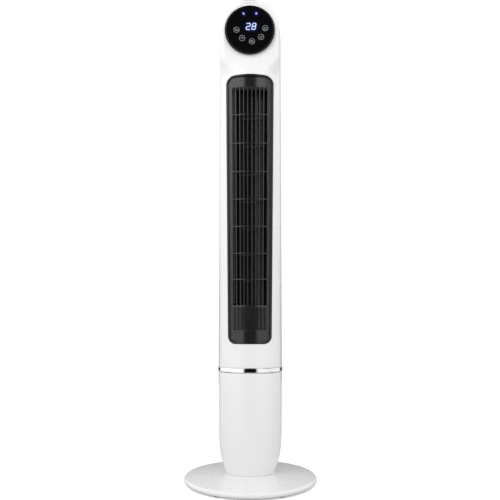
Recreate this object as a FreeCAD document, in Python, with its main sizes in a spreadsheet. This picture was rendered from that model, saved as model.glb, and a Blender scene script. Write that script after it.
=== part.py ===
import FreeCAD, Part
import math
import os
import Sketcher

# Tower fan: round weighted base, tapered-foot pedestal, oscillating column
# with a cross-flow impeller, arched head with a round touch panel.
# Millimetres, +Z up, front faces -Y, origin on the floor under the centre.

V = FreeCAD.Vector
doc = FreeCAD.newDocument("TowerFan")

# ---------------------------------------------------------------- sheet
VALUES = [
    ("disc_radius", 147.5), ("disc_bottom", 3.0), ("disc_rim_top", 14.6),
    ("disc_crown", 24.5), ("disc_wall", 3.0), ("foot_radius", 9.0),
    ("foot_ring", 130.0), ("foot_count", 6), ("weight_inner", 56.0),
    ("weight_outer", 100.0), ("weight_bottom", 6.2), ("weight_top", 13.2),
    ("base_screw_ring", 38.0), ("cover_screw_ring", 112.0),
    ("half_width", 71.5), ("half_depth", 66.0), ("face_radius", 130.0),
    ("corner_radius", 48.0), ("pedestal_top", 245.4),
    ("pedestal_wall", 3.0), ("ring_bottom", 246.0), ("ring_top", 256.0),
    ("ring_proud", 0.5), ("shell_bottom", 256.3), ("shell_wall", 2.5),
    ("split_plane", 6.0), ("bend_start", 918.0), ("bend_end", 960.0),
    ("head_front", 60.0), ("head_round", 10.0), ("arch_centre", 1012.0),
    ("arch_rise", 86.0), ("column_top", 1098.0),
    ("window_bottom", 308.5), ("window_top", 913.6),
    ("window_half_low", 47.9), ("window_half_high", 54.7),
    ("trim_strip", 7.2), ("grille_gap", 0.5),
    ("slot_top", 885.5), ("slot_bottom", 392.2), ("blank_bottom", 338.9),
    ("slot_half_low", 37.0), ("slot_half_high", 40.0),
    ("bar_width", 3.0), ("rib_height", 2.3), ("grille_sheet", 2.6),
    ("deck_bottom", 236.0), ("deck_top", 240.0), ("pivot_outer", 12.0),
    ("pivot_bore", 9.0), ("gear_module", 1.0), ("gear_teeth", 48),
    ("pinion_teeth", 12), ("gear_bottom", 241.0), ("gear_top", 247.0),
    ("chassis_bottom", 249.0), ("chassis_top", 252.0),
    ("axis_back", 2.0), ("drum_radius", 42.0), ("drum_bottom", 392.0),
    ("drum_top", 888.0), ("blade_count", 20), ("panel_radius", 57.2),
    ("panel_centre", 1019.0), ("panel_front", 67.2),
    ("grommet_height", 120.0), ("grommet_bore", 3.8), ("shaft_radius", 4.0),
]
sheet = doc.addObject("Spreadsheet::Sheet", "Dims")
for row, (alias, value) in enumerate(VALUES, 1):
    sheet.set("A%d" % row, alias)
    sheet.set("B%d" % row, str(value))
    sheet.setAlias("B%d" % row, alias)
doc.recompute()


class Dim(object):
    """A number read from the sheet together with its expression."""

    def __init__(self, value, text):
        self.value = float(value)
        self.text = text

    def _other(self, other):
        if isinstance(other, Dim):
            return other
        return Dim(other, repr(float(other)))

    def __add__(self, other):
        other = self._other(other)
        return Dim(self.value + other.value, "(%s + %s)" % (self.text, other.text))

    def __sub__(self, other):
        other = self._other(other)
        return Dim(self.value - other.value, "(%s - %s)" % (self.text, other.text))

    def __mul__(self, other):
        other = self._other(other)
        return Dim(self.value * other.value, "(%s * %s)" % (self.text, other.text))

    def __truediv__(self, other):
        other = self._other(other)
        return Dim(self.value / other.value, "(%s / %s)" % (self.text, other.text))

    def __rsub__(self, other):
        return self._other(other) - self

    __radd__ = __add__
    __rmul__ = __mul__


class Sizes(object):
    pass


d = Sizes()       # sheet-bound
n = Sizes()       # plain numbers, for shapes built with Part functions
for alias, value in VALUES:
    number = float(sheet.get(alias))
    setattr(d, alias, Dim(number, "Dims." + alias))
    setattr(n, alias, number)

PARTS = []        # (label, object)


def num(value):
    return value.value if isinstance(value, Dim) else float(value)


def bind(obj, prop, value):
    if isinstance(value, Dim):
        obj.setExpression(prop, value.text)
    else:
        setattr(obj, prop, value)


def plane(body, role):
    for feature in body.Origin.OriginFeatures:
        if feature.Role == role:
            return feature
    raise RuntimeError("no " + role)


def keep(label, obj):
    obj.Label = label
    PARTS.append((label, obj))
    return obj


def new_body(label):
    return doc.addObject("PartDesign::Body", "Body_" + label)


def polygon_sketch(body, name, role, points, offset=None):
    """Closed outline of lines and three-point arcs, every corner located
    by named dimensions that follow the sheet."""
    sk = body.newObject("Sketcher::SketchObject", name)
    sk.AttachmentSupport = [(plane(body, role), "")]
    sk.MapMode = "FlatFace"
    if offset is not None:
        bind(sk, "AttachmentOffset.Base.z", offset) if isinstance(offset, Dim) else setattr(
            sk, "AttachmentOffset", FreeCAD.Placement(V(0, 0, offset), FreeCAD.Rotation()))
    xy = [(num(p[0]), num(p[1])) for p in points]
    count = len(points)
    ends = []
    for i in range(count):
        j = (i + 1) % count
        a, b = V(xy[i][0], xy[i][1], 0), V(xy[j][0], xy[j][1], 0)
        arc = points[j][2] if len(points[j]) > 2 else None
        if arc is None:
            sk.addGeometry(Part.LineSegment(a, b), False)
            ends.append((1, 2))
        else:
            sk.addGeometry(Part.Arc(a, V(arc[0], arc[1], 0), b), False)
            first = sk.getPoint(i, 1)
            ends.append((1, 2) if (first - a).Length < 1e-6 else (2, 1))
    for i in range(count):
        j = (i + 1) % count
        sk.addConstraint(Sketcher.Constraint("Coincident", i, ends[i][1], j, ends[j][0]))
    for i in range(count):
        for axis, kind, line in ((0, "DistanceX", -2), (1, "DistanceY", -1)):
            value = points[i][axis]
            if abs(xy[i][axis]) < 1e-9:
                sk.addConstraint(Sketcher.Constraint("PointOnObject", i, ends[i][0], line))
                continue
            k = sk.addConstraint(Sketcher.Constraint(kind, -1, 1, i, ends[i][0], xy[i][axis]))
            if isinstance(value, Dim):
                word = "%s_%d" % ("across" if axis == 0 else "along", i)
                sk.renameConstraint(k, word)
                sk.setExpression("Constraints." + word, value.text)
    for i in range(count):
        j = (i + 1) % count
        if len(points[j]) > 2:
            sk.addConstraint(Sketcher.Constraint("Radius", i, sk.Geometry[i].Radius))
    return sk


def circle_sketch(body, name, role, circles):
    sk = body.newObject("Sketcher::SketchObject", name)
    sk.AttachmentSupport = [(plane(body, role), "")]
    sk.MapMode = "FlatFace"
    for i, (cx, cy, r) in enumerate(circles):
        sk.addGeometry(Part.Circle(V(num(cx), num(cy), 0), V(0, 0, 1), num(r)), False)
        for value, kind, line, word in ((cx, "DistanceX", -2, "cx"), (cy, "DistanceY", -1, "cy")):
            if abs(num(value)) < 1e-9:
                sk.addConstraint(Sketcher.Constraint("PointOnObject", i, 3, line))
                continue
            k = sk.addConstraint(Sketcher.Constraint(kind, -1, 1, i, 3, num(value)))
            if isinstance(value, Dim):
                sk.renameConstraint(k, "%s_%d" % (word, i))
                sk.setExpression("Constraints.%s_%d" % (word, i), value.text)
        k = sk.addConstraint(Sketcher.Constraint("Radius", i, num(r)))
        if isinstance(r, Dim):
            sk.renameConstraint(k, "rad_%d" % i)
            sk.setExpression("Constraints.rad_%d" % i, r.text)
    return sk


def revolved(label, points, place=None):
    """Turned piece: outline in (radius, height), revolved about Z."""
    body = new_body(label)
    sk = polygon_sketch(body, "Outline_" + label, "XZ_Plane", points)
    rev = body.newObject("PartDesign::Revolution", "Turn_" + label)
    rev.Profile = sk
    rev.ReferenceAxis = (sk, ["V_Axis"])
    rev.Angle = 360.0
    body.Tip = rev
    doc.recompute()
    if place is not None:
        body.Placement = place
    return keep(label, body)


def holes(body, label, circles, start, length, count=1):
    """Round holes cut upward from a height, repeated about Z."""
    sk = circle_sketch(body, "Holes_" + label, "XY_Plane", circles)
    bind(sk, "AttachmentOffset.Base.z", start) if isinstance(start, Dim) else setattr(
        sk, "AttachmentOffset", FreeCAD.Placement(V(0, 0, start), FreeCAD.Rotation()))
    before = body.Shape.Volume
    pocket = body.newObject("PartDesign::Pocket", "Cut_" + label)
    pocket.Profile = sk
    pocket.Reversed = True
    bind(pocket, "Length", length)
    body.Tip = pocket
    doc.recompute()
    if count > 1:
        pattern = body.newObject("PartDesign::PolarPattern", "Ring_" + label)
        pattern.Originals = [pocket]
        pattern.Axis = (sk, ["N_Axis"])
        pattern.Angle = 360.0
        pattern.Occurrences = int(count)
        body.Tip = pattern
        doc.recompute()
    if body.Shape.Volume > before - 1.0:
        raise RuntimeError("holes cut nothing: " + label)


def feature(label, shape, place=None):
    obj = doc.addObject("Part::Feature", "Solid_" + label)
    obj.Shape = shape
    if place is not None:
        obj.Placement = place
    return keep(label, obj)


def cyl(r, h, x=0, y=0, z=0, axis=None):
    return Part.makeCylinder(r, h, V(x, y, z), axis or V(0, 0, 1))


def box(x0, x1, y0, y1, z0, z1):
    return Part.makeBox(x1 - x0, y1 - y0, z1 - z0, V(x0, y0, z0))


def fuse(shapes):
    shapes = list(shapes)
    return shapes[0].fuse(shapes[1:]).removeSplitter() if len(shapes) > 1 else shapes[0]


AT_AXIS = FreeCAD.Placement(V(0, n.axis_back, 0), FreeCAD.Rotation())


# ------------------------------------------------------- column section
def corner_centre():
    a, b, big, r = n.half_width, n.half_depth, n.face_radius, n.corner_radius
    c1 = V(0, big - b, 0)
    c2 = V(a - big, 0, 0)
    reach = big - r
    mid = (c1 + c2) * 0.5
    line = c2 - c1
    rise = math.sqrt(reach * reach - line.Length ** 2 / 4.0)
    across = V(-line.y, line.x, 0).normalize()
    for sign in (1, -1):
        p = mid + across * (sign * rise)
        if p.x > 0 and p.y < 0:
            return p
    raise RuntimeError("no corner")


CORNER = corner_centre()


def section_points(o):
    """Tangent points of one quarter of the rounded section, moved inward
    by o: side/corner point and corner/front point (x > 0, y < 0)."""
    big = n.face_radius - o
    c_front = V(0, n.face_radius - n.half_depth, 0)
    c_side = V(n.half_width - n.face_radius, 0, 0)
    u1 = (CORNER - c_side).normalize()
    u2 = (CORNER - c_front).normalize()
    return c_side + u1 * big, c_front + u2 * big


def section_edges(o, z, scale=1.0):
    side, front = section_points(o)
    r = n.corner_radius - o
    out = (V(side.x, side.y, 0) - CORNER).normalize()
    out2 = (V(front.x, front.y, 0) - CORNER).normalize()
    mid_c = CORNER + (out + out2).normalize() * r
    a, b = n.half_width - o, n.half_depth - o

    def q(p, sx, sy):
        return V(p.x * sx * scale, p.y * sy * scale, z)

    e = [
        Part.Arc(q(front, -1, 1), V(0, -b * scale, z), q(front, 1, 1)),
        Part.Arc(q(front, 1, 1), q(mid_c, 1, 1), q(side, 1, 1)),
        Part.Arc(q(side, 1, 1), V(a * scale, 0, z), q(side, 1, -1)),
        Part.Arc(q(side, 1, -1), q(mid_c, 1, -1), q(front, 1, -1)),
        Part.Arc(q(front, 1, -1), V(0, b * scale, z), q(front, -1, -1)),
        Part.Arc(q(front, -1, -1), q(mid_c, -1, -1), q(side, -1, -1)),
        Part.Arc(q(side, -1, -1), V(-a * scale, 0, z), q(side, -1, 1)),
        Part.Arc(q(side, -1, 1), q(mid_c, -1, 1), q(front, -1, 1)),
    ]
    return [c.toShape() for c in e]


def section_wire(o, z, scale=1.0):
    return Part.Wire(section_edges(o, z, scale))


def section_prism(o, z0, z1):
    return Part.Face(section_wire(o, z0)).extrude(V(0, 0, z1 - z0))


def front_half_wire(o, z, ys):
    """Front part of the section, closed along y = ys."""
    side, front = section_points(o)
    r = n.corner_radius - o
    out = (side - CORNER).normalize()
    out2 = (front - CORNER).normalize()
    mid_c = CORNER + (out + out2).normalize() * r
    b = n.half_depth - o
    c_side = V(n.half_width - n.face_radius, 0, 0)
    big = n.face_radius - o
    ang_end = math.asin(ys / big)
    end = c_side + V(math.cos(ang_end), math.sin(ang_end), 0) * big
    half_ang = (math.atan2(side.y, side.x - c_side.x) + ang_end) / 2.0
    mid_s = c_side + V(math.cos(half_ang), math.sin(half_ang), 0) * big

    def q(p, sx=1):
        return V(p.x * sx, p.y, z)

    pts = [q(end, -1), q(side, -1), q(front, -1), q(front), q(side), q(end)]
    mids = [q(mid_s, -1), q(mid_c, -1), V(0, -b, z), q(mid_c), q(mid_s)]
    edges = [Part.Arc(pts[i], mids[i], pts[i + 1]).toShape() for i in range(5)]
    edges.append(Part.LineSegment(pts[5], pts[0]).toShape())
    return Part.Wire(edges)


def head_half_wire(o, z, ys):
    """Flat-fronted head section, closed along y = ys."""
    a, f, r = n.half_width - o, n.head_front - o, n.head_round - o
    k = r * (1 - math.sqrt(0.5))
    pts = [V(-a, ys, z), V(-a, -f + r, z), V(-a + r, -f, z), V(a - r, -f, z),
           V(a, -f + r, z), V(a, ys, z)]
    edges = [
        Part.LineSegment(pts[0], pts[1]).toShape(),
        Part.Arc(pts[1], V(-a + k, -f + k, z), pts[2]).toShape(),
        Part.LineSegment(pts[2], pts[3]).toShape(),
        Part.Arc(pts[3], V(a - k, -f + k, z), pts[4]).toShape(),
        Part.LineSegment(pts[4], pts[5]).toShape(),
        Part.LineSegment(pts[5], pts[0]).toShape(),
    ]
    return Part.Wire(edges)


def arch_face(o, y, bottom):
    a, rise, zc = n.half_width - o, n.arch_rise - o, n.arch_centre
    if rise > a:
        ell = Part.Ellipse(V(0, y, zc + rise), V(a, y, zc), V(0, y, zc))
    else:
        ell = Part.Ellipse(V(a, y, zc), V(0, y, zc + rise), V(0, y, zc))
    p_left = ell.parameter(V(-a, y, zc))
    p_right = ell.parameter(V(a, y, zc))
    arc = Part.ArcOfEllipse(ell, p_right, p_left)
    if arc.value((arc.FirstParameter + arc.LastParameter) / 2.0).z < zc:
        arc = Part.ArcOfEllipse(ell, p_left, p_right)
    edges = [arc.toShape(),
             Part.LineSegment(V(-a, y, zc), V(-a, y, bottom)).toShape(),
             Part.LineSegment(V(-a, y, bottom), V(a, y, bottom)).toShape(),
             Part.LineSegment(V(a, y, bottom), V(a, y, zc)).toShape()]
    return Part.Face(Part.Wire(Part.__sortEdges__(edges)))


def front_solid(o, bottom, ys):
    """Closed form of the front half of the column, moved inward by o."""
    lower = section_prism(o, bottom, n.bend_start).common(
        box(-100, 100, -100, ys, bottom - 1, n.bend_start + 1))
    bend = Part.makeLoft([front_half_wire(o, n.bend_start, ys),
                          head_half_wire(o, n.bend_end, ys)], True, True)
    head = arch_face(o, ys, n.bend_end).extrude(V(0, -(n.head_front - o) - ys, 0))
    rim = [e for e in head.Edges
           if abs(e.BoundBox.YMin + n.head_front - o) < 1e-3
           and abs(e.BoundBox.YMax + n.head_front - o) < 1e-3
           and e.BoundBox.ZMax > n.bend_end + 1]
    head = head.makeFillet(n.head_round - o, rim)
    return lower.fuse([bend, head]).removeSplitter()


def rear_solid(o, bottom, ys):
    """Closed form of the rear half of the column, moved inward by o."""
    back = section_prism(o, bottom, n.column_top + 5)
    back = back.common(box(-100, 100, ys, 100, bottom - 1, n.column_top + 5))
    # the top rear corner is rounded
    cap = box(-100, 100, ys - 20, n.half_depth + 3 - o, bottom - 3, n.column_top + 2 - o)
    edge = [e for e in cap.Edges if e.BoundBox.YMin > n.half_depth and e.BoundBox.ZMin > n.column_top - 5]
    back = back.common(cap.makeFillet(45.0 - o, edge))
    return back.common(arch_face(o, 0.0, bottom - 2).extrude(V(0, 100, 0)))


def shell_band(r_out, r_in, z0, z1):
    """Band that follows the curved front, between two offsets."""
    outer = section_prism(n.face_radius - r_out, z0, z1)
    inner = section_prism(n.face_radius - r_in, z0, z1)
    return outer.cut(inner).common(box(-80, 80, -90, 0, z0, z1))


def taper_face(half_low, half_high, z0, z1, r_low, r_high, y=-100.0):
    """Tall outline, slightly narrower at the bottom, rounded corners."""
    slope = math.atan2(half_high - half_low, z1 - z0)

    def corner(hx, z, r, top):
        # tangent lengths for a corner that is off square by the slope
        turn = math.pi / 2 + (slope if top else -slope)
        t = r * math.tan(turn / 2.0)
        along = V(-math.sin(slope), 0, -math.cos(slope)) if top else V(math.sin(slope), 0, math.cos(slope))
        p = V(hx, y, z)
        a = p + along * t
        b = p + V(-t, 0, 0)
        bis = (along + V(-1, 0, 0)).normalize()
        inner = math.pi - turn
        centre = p + bis * (r / math.sin(inner / 2.0))
        mid = centre - bis * r
        return a, mid, b

    a1, m1, b1 = corner(half_low, z0, r_low, False)
    a2, m2, b2 = corner(half_high, z1, r_high, True)

    def flip(p):
        return V(-p.x, p.y, p.z)

    edges = [
        Part.LineSegment(a1, a2).toShape(), Part.Arc(a2, m2, b2).toShape(),
        Part.LineSegment(b2, flip(b2)).toShape(), Part.Arc(flip(b2), flip(m2), flip(a2)).toShape(),
        Part.LineSegment(flip(a2), flip(a1)).toShape(), Part.Arc(flip(a1), flip(m1), flip(b1)).toShape(),
        Part.LineSegment(flip(b1), b1).toShape(), Part.Arc(b1, m1, a1).toShape(),
    ]
    return Part.Face(Part.Wire(edges))


def taper_prism(*args):
    return taper_face(*args).extrude(V(0, 100, 0))


# ------------------------------------------------------------ base group
profile = [
    (d.disc_radius - 5.0, d.disc_bottom),
    (d.disc_radius, d.disc_bottom + 5.0, (146.04, 4.46)),
    (d.disc_radius, d.disc_rim_top - 5.2),
    (d.disc_radius - 5.4, d.disc_rim_top + 0.5, (146.4, 13.2)),
    (56.0, d.disc_crown, (100.5, 20.9)),
    (20.0, d.disc_crown),
    (20.0, d.disc_crown - d.disc_wall),
    (56.0, d.disc_crown - d.disc_wall),
    (d.disc_radius - 9.5, d.disc_rim_top - 3.0, (100.5, 17.6)),
    (d.disc_radius - 8.0, d.disc_rim_top - 5.6),
    (d.disc_radius - 8.0, d.disc_bottom),
]
disc = revolved("base_disc", profile)

# screw pillars under the crown, on a ring about the axis
pillar_sketch = circle_sketch(disc, "Pillars", "XY_Plane", [(d.base_screw_ring, 0.0, 7.5)])
pillar_sketch.AttachmentOffset = FreeCAD.Placement(V(0, 0, 9.0), FreeCAD.Rotation())
pillar = disc.newObject("PartDesign::Pad", "PillarPad")
pillar.Profile = pillar_sketch
pillar.Length = 13.0
disc.Tip = pillar
doc.recompute()
pillars = disc.newObject("PartDesign::PolarPattern", "PillarRing")
pillars.Originals = [pillar]
pillars.Axis = (pillar_sketch, ["N_Axis"])
pillars.Angle = 360.0
pillars.Occurrences = 4
disc.Tip = pillars
doc.recompute()
boss_sketch = circle_sketch(disc, "CoverBosses", "XY_Plane", [(d.cover_screw_ring, 0.0, 5.5)])
boss_sketch.AttachmentOffset = FreeCAD.Placement(V(0, 0, 5.5), FreeCAD.Rotation())
boss = disc.newObject("PartDesign::Pad", "BossPad")
boss.Profile = boss_sketch
boss.Length = 11.5
disc.Tip = boss
doc.recompute()
bosses = disc.newObject("PartDesign::PolarPattern", "BossRing")
bosses.Originals = [boss]
bosses.Axis = (boss_sketch, ["N_Axis"])
bosses.Angle = 360.0
bosses.Occurrences = 6
disc.Tip = bosses
doc.recompute()
holes(disc, "disc_screws", [(d.base_screw_ring, 0.0, 2.2)], 8.0, 20.0, 4)
holes(disc, "disc_cover", [(d.cover_screw_ring, 0.0, 1.5)], 5.0, 9.0, 6)

cover = revolved("base_cover", [
    (16.0, d.disc_bottom), (d.disc_radius - 8.4, d.disc_bottom),
    (d.disc_radius - 8.4, d.disc_bottom + 2.4), (16.0, d.disc_bottom + 2.4)])
holes(cover, "cover_access", [(d.base_screw_ring, 0.0, 5.0)], 2.0, 5.0, 4)
holes(cover, "cover_fix", [(d.cover_screw_ring, 0.0, 1.9)], 2.0, 5.0, 6)

revolved("base_weight", [
    (d.weight_inner, d.weight_bottom), (d.weight_outer, d.weight_bottom),
    (d.weight_outer, d.weight_top), (d.weight_inner, d.weight_top)])

feet = []
for i in range(int(n.foot_count)):
    a = 2 * math.pi * i / n.foot_count
    foot = Part.makeCone(n.foot_radius - 1.2, n.foot_radius, 1.2,
                         V(n.foot_ring * math.cos(a), n.foot_ring * math.sin(a), 0))
    foot = foot.fuse(cyl(n.foot_radius, n.disc_bottom - 1.2,
                         n.foot_ring * math.cos(a), n.foot_ring * math.sin(a), 1.2)).removeSplitter()
    feet.append(foot)
feature("rubber_feet", Part.makeCompound(feet))


def screw(x, y, z, length, shank, head, head_h, axis=V(0, 0, 1), slot=True):
    """Pan-head screw: head starts at the point, shank runs along axis."""
    p = V(x, y, z)
    body = Part.makeCylinder(head, head_h, p, axis)
    body = body.fuse(Part.makeCylinder(shank, length, p + axis * head_h, axis)).removeSplitter()
    if slot:
        rot = FreeCAD.Rotation(V(0, 0, 1), axis)
        for turn in (0, 90):
            s = Part.makeBox(head * 1.1, 0.9, head_h * 0.5, V(-head * 0.55, -0.45, 0))
            s.rotate(V(0, 0, 0), V(0, 0, 1), turn)
            s.Placement = FreeCAD.Placement(p, rot).multiply(s.Placement)
            body = body.cut(s)
    return body


ring4 = [(n.base_screw_ring * math.cos(k * math.pi / 2), n.base_screw_ring * math.sin(k * math.pi / 2))
         for k in range(4)]
feature("base_screws", Part.makeCompound(
    [screw(x, y, 6.2, 31.0, 1.9, 3.9, 2.8) for x, y in ring4]))
ring6 = [(n.cover_screw_ring * math.cos(k * math.pi / 3), n.cover_screw_ring * math.sin(k * math.pi / 3))
         for k in range(6)]
feature("cover_screws", Part.makeCompound(
    [screw(x, y, 1.0, 10.0, 1.5, 3.2, 2.0) for x, y in ring6]))

# ---------------------------------------------------------- pedestal
PROFILE = [(24.5, 54.4), (32.0, 56.6), (38.0, 58.8), (48.0, 62.4), (57.0, 65.1),
           (74.0, 68.1), (92.0, 69.8), (110.0, 70.7), (130.0, 71.1)]


def pedestal_solid(o, z_floor):
    rows = [(z, r) for z, r in PROFILE if z >= z_floor - 0.01]
    if rows[0][0] > z_floor + 0.01:
        rows.insert(0, (z_floor, 54.5 + (z_floor - 24.5) * 0.28))
    wires = [section_wire(0.0, z, (r - o) / n.half_width) for z, r in rows]
    low = Part.makeLoft(wires, True, False)
    top = Part.makeLoft([section_wire(0.0, 130.0, (71.1 - o) / n.half_width),
                         section_wire(0.0, n.pedestal_top + (5.0 if o > 0 else 0.0),
                                      (n.half_width - o) / n.half_width)], True, True)
    return low.fuse(top).removeSplitter()


shell = pedestal_solid(0.0, 24.5).cut(pedestal_solid(n.pedestal_wall, 28.0))
extra = []
for x, y in ring4:
    extra.append(cyl(5.0, 18.0, x, y, 27.0))
for sx in (1, -1):
    for sy in (1, -1):
        extra.append(cyl(8.6, 30.0, sx * 45.2, sy * 44.4, n.deck_bottom - 30.0).common(
            pedestal_solid(1.0, 24.5)))
shell = shell.fuse(extra).removeSplitter()
cuts = [cyl(22.0, 10.0, 0, 0, 20.0)]
for x, y in ring4:
    cuts.append(cyl(1.9, 24.0, x, y, 20.0))
for sx in (1, -1):
    for sy in (1, -1):
        cuts.append(cyl(1.5, 18.0, sx * 45.2, sy * 44.4, n.deck_bottom - 16.0))
cuts.append(cyl(7.1, 40.0, 0, 45.0, n.grommet_height, V(0, 1, 0)))
shell = shell.cut(cuts)
feature("pedestal_shell", shell)

revolved("cable_grommet", [
    (d.grommet_bore, 0.0), (d.grommet_bore + 3.2, 0.0), (d.grommet_bore + 3.2, 13.4),
    (d.grommet_bore + 5.8, 13.4), (d.grommet_bore + 5.4, 15.6), (d.grommet_bore + 1.6, 16.4),
    (d.grommet_bore, 16.0)],
    FreeCAD.Placement(V(0, 52.6, n.grommet_height), FreeCAD.Rotation(V(1, 0, 0), -90)))

bracket = section_prism(n.pedestal_wall + 0.6, n.deck_bottom, n.deck_top)
bracket = bracket.fuse([cyl(18.0, 22.0, 0, 0, n.deck_bottom - 22.0)]).removeSplitter()
bracket = bracket.cut([cyl(n.pivot_outer, 60.0, 0, 0, 200.0)] +
                      [cyl(1.8, 10.0, sx * 45.2, sy * 44.4, n.deck_bottom - 2)
                       for sx in (1, -1) for sy in (1, -1)])
feature("pivot_bracket", bracket)
feature("bracket_screws", Part.makeCompound(
    [screw(sx * 45.2, sy * 44.4, n.deck_top + 1.8, 15.0, 1.5, 3.0, 1.8, V(0, 0, -1))
     for sx in (1, -1) for sy in (1, -1)]))
revolved("pivot_tube", [
    (d.pivot_bore, d.deck_bottom - 20.0), (d.pivot_outer, d.deck_bottom - 20.0),
    (d.pivot_outer, 259.4), (d.pivot_outer - 0.8, 259.4), (d.pivot_outer - 0.8, 260.6),
    (d.pivot_outer, 260.6), (d.pivot_outer - 0.6, 263.0), (d.pivot_bore, 263.0)])
revolved("slide_ring", [
    (40.0, d.deck_top), (50.0, d.deck_top), (50.0, d.deck_top + 1.6), (47.0, d.chassis_bottom - 0.2),
    (43.0, d.chassis_bottom - 0.2), (40.0, d.deck_top + 1.6)])
clip = cyl(15.5, 1.0, 0, 0, 259.5).cut([cyl(11.3, 3.0, 0, 0, 258.5), box(-4, 4, -20, 0, 258, 262)])
feature("retaining_clip", clip)


def gear(teeth, z0, z1, bore, phase, thin):
    """Involute spur gear, 25 degree pressure angle, short addendum."""
    m = n.gear_module
    rp = m * teeth / 2.0
    press = math.radians(25.0)
    rb = rp * math.cos(press)
    ra, rr = rp + 0.8 * m, rp - 1.15 * m

    def inv(a):
        return math.tan(a) - a

    half = math.pi / (2 * teeth) - thin / rp
    pts = []
    steps = 4
    r_low = max(rb, rr)
    for k in range(teeth):
        base = phase + 2 * math.pi * k / teeth
        flank = []
        for i in range(steps + 1):
            r = r_low + (ra - r_low) * i / steps
            a = math.acos(min(1.0, rb / r))
            flank.append((r, half + inv(press) - inv(a)))
        left = [(rr, flank[0][1] + 0.02)] if rr < r_low - 1e-6 else []
        for r, t in left + flank:
            pts.append(V(r * math.cos(base - t), r * math.sin(base - t), z0))
        for r, t in reversed(left + flank):
            pts.append(V(r * math.cos(base + t), r * math.sin(base + t), z0))
    pts.append(pts[0])
    solid = Part.Face(Part.makePolygon(pts)).extrude(V(0, 0, z1 - z0))
    if bore > 0:
        solid = solid.cut(cyl(bore, z1 - z0, 0, 0, z0))
    return solid


centre = n.gear_module * (n.gear_teeth + n.pinion_teeth) / 2.0
sun = gear(int(n.gear_teeth), n.gear_bottom, n.gear_top, n.pivot_outer, math.radians(90), 0.06)
sun = sun.fuse(cyl(19.0, n.gear_bottom - n.deck_top, 0, 0, n.deck_top).cut(
    cyl(n.pivot_outer, 5.0, 0, 0, n.deck_top))).removeSplitter()
feature("oscillation_gear", sun)
pinion = gear(int(n.pinion_teeth), n.gear_bottom + 0.5, n.gear_top - 0.5, 0.0,
              math.radians(15), 0.06)
pinion = pinion.fuse([cyl(2.5, n.chassis_top + 0.1 - n.gear_bottom - 0.5, 0, 0, n.gear_bottom + 0.5)]).removeSplitter()
pinion.translate(V(0, centre, 0))
feature("oscillation_pinion", pinion)

# ---------------------------------------------------- column: lower end
ring = section_prism(-n.ring_proud, n.ring_bottom, n.ring_top)
edges = [e for e in ring.Edges if e.BoundBox.ZLength < 1e-6]
ring = ring.makeFillet(0.45, edges)
ring = ring.cut(section_prism(3.2, n.ring_bottom - 1, n.ring_top + 1))
feature("chrome_ring", ring)

chassis = section_prism(3.6, n.chassis_bottom, n.chassis_top)
wall = section_prism(3.6, n.chassis_top, 268.0).cut(section_prism(5.6, n.chassis_top - 1, 269.0))
chassis = chassis.fuse([wall, cyl(15.0, 7.0, 0, 0, n.chassis_bottom)] +
                       [cyl(5.0, 14.0, sx * 34.0, -36.0, n.chassis_top - 0.5) for sx in (1, -1)]).removeSplitter()
chassis = chassis.cut([cyl(n.pivot_outer + 0.1, 20.0, 0, 0, 245.0),
                       cyl(3.4, 10.0, 0, centre, 245.0)] +
                      [cyl(1.5, 12.0, sx * 34.0, -36.0, 256.0) for sx in (1, -1)])
feature("column_chassis", chassis)

step = cyl(14.0, 19.0, 0, centre, n.chassis_top + 0.3)
step = step.fuse([box(-21.0, 21.0, centre - 3.5, centre + 3.5, n.chassis_top + 0.3, n.chassis_top + 1.3)]).removeSplitter()
step = step.makeFillet(1.2, [e for e in step.Edges if abs(e.BoundBox.ZMin - n.chassis_top - 19.3) < 1e-3
                             and abs(e.BoundBox.ZMax - n.chassis_top - 19.3) < 1e-3])
feature("oscillation_motor", step)

# -------------------------------------------------------------- housings
split = n.split_plane
front_form = front_solid(0.0, n.shell_bottom, split - 0.2)
front = front_form.cut(front_solid(n.shell_wall, n.shell_bottom - 5.0, split + 4.0))
window = taper_prism(n.window_half_low, n.window_half_high, n.window_bottom,
                     n.window_top, 17.0, 18.0)
front = front.cut([window, cyl(50.0, 30.0, 0, -45.0, n.panel_centre, V(0, -1, 0))])
# screw towers that take the housing screws from behind
front_inner = front_solid(1.0, n.shell_bottom + 1, split - 0.2)
rear_inner = rear_solid(1.0, n.shell_bottom + 1, split + 0.2)
TOWERS = [(sx * 63.0, z) for sx in (1, -1) for z in (300.0, 610.0, 925.0)]
towers = []
for x, z in TOWERS:
    t = cyl(4.5, 36.0, x, -30.0, z, V(0, 1, 0)).fuse(
        box(min(x, x * 1.14), max(x, x * 1.14), -30.0, split - 0.2, z - 1.5, z + 1.5))
    towers.append(t.common(front_inner))
front = front.fuse(towers).removeSplitter()
front = front.cut([cyl(1.6, 30.0, x, split - 20.0, z, V(0, 1, 0)) for x, z in TOWERS])
feature("front_housing", front)

rear_form = rear_solid(0.0, n.shell_bottom, split + 0.2)
rear = rear_form.cut(rear_solid(n.shell_wall, n.shell_bottom - 5.0, split - 4.0))
posts = [cyl(5.0, 60.0, x, split + 0.2, z, V(0, 1, 0)).common(rear_inner)
         for x, z in TOWERS]
rear = rear.fuse(posts).removeSplitter()
cuts = []
for x, z in TOWERS:
    cuts.append(cyl(1.9, 80.0, x, 0.0, z, V(0, 1, 0)))
    cuts.append(cyl(3.6, 80.0, x, 24.0, z, V(0, 1, 0)))
# intake louvres: three columns of narrow slots
z = 400.0
while z < 884.0:
    for x0, x1 in ((-46.0, -16.5), (-14.5, 14.5), (16.5, 46.0)):
        cuts.append(box(x0, x1, 40.0, 80.0, z, z + 4.0))
    z += 8.0
cuts.append(box(-45.0, 45.0, 40.0, 80.0, 962.0, 996.0))
rear = rear.cut(cuts)
feature("rear_housing", rear)

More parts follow.
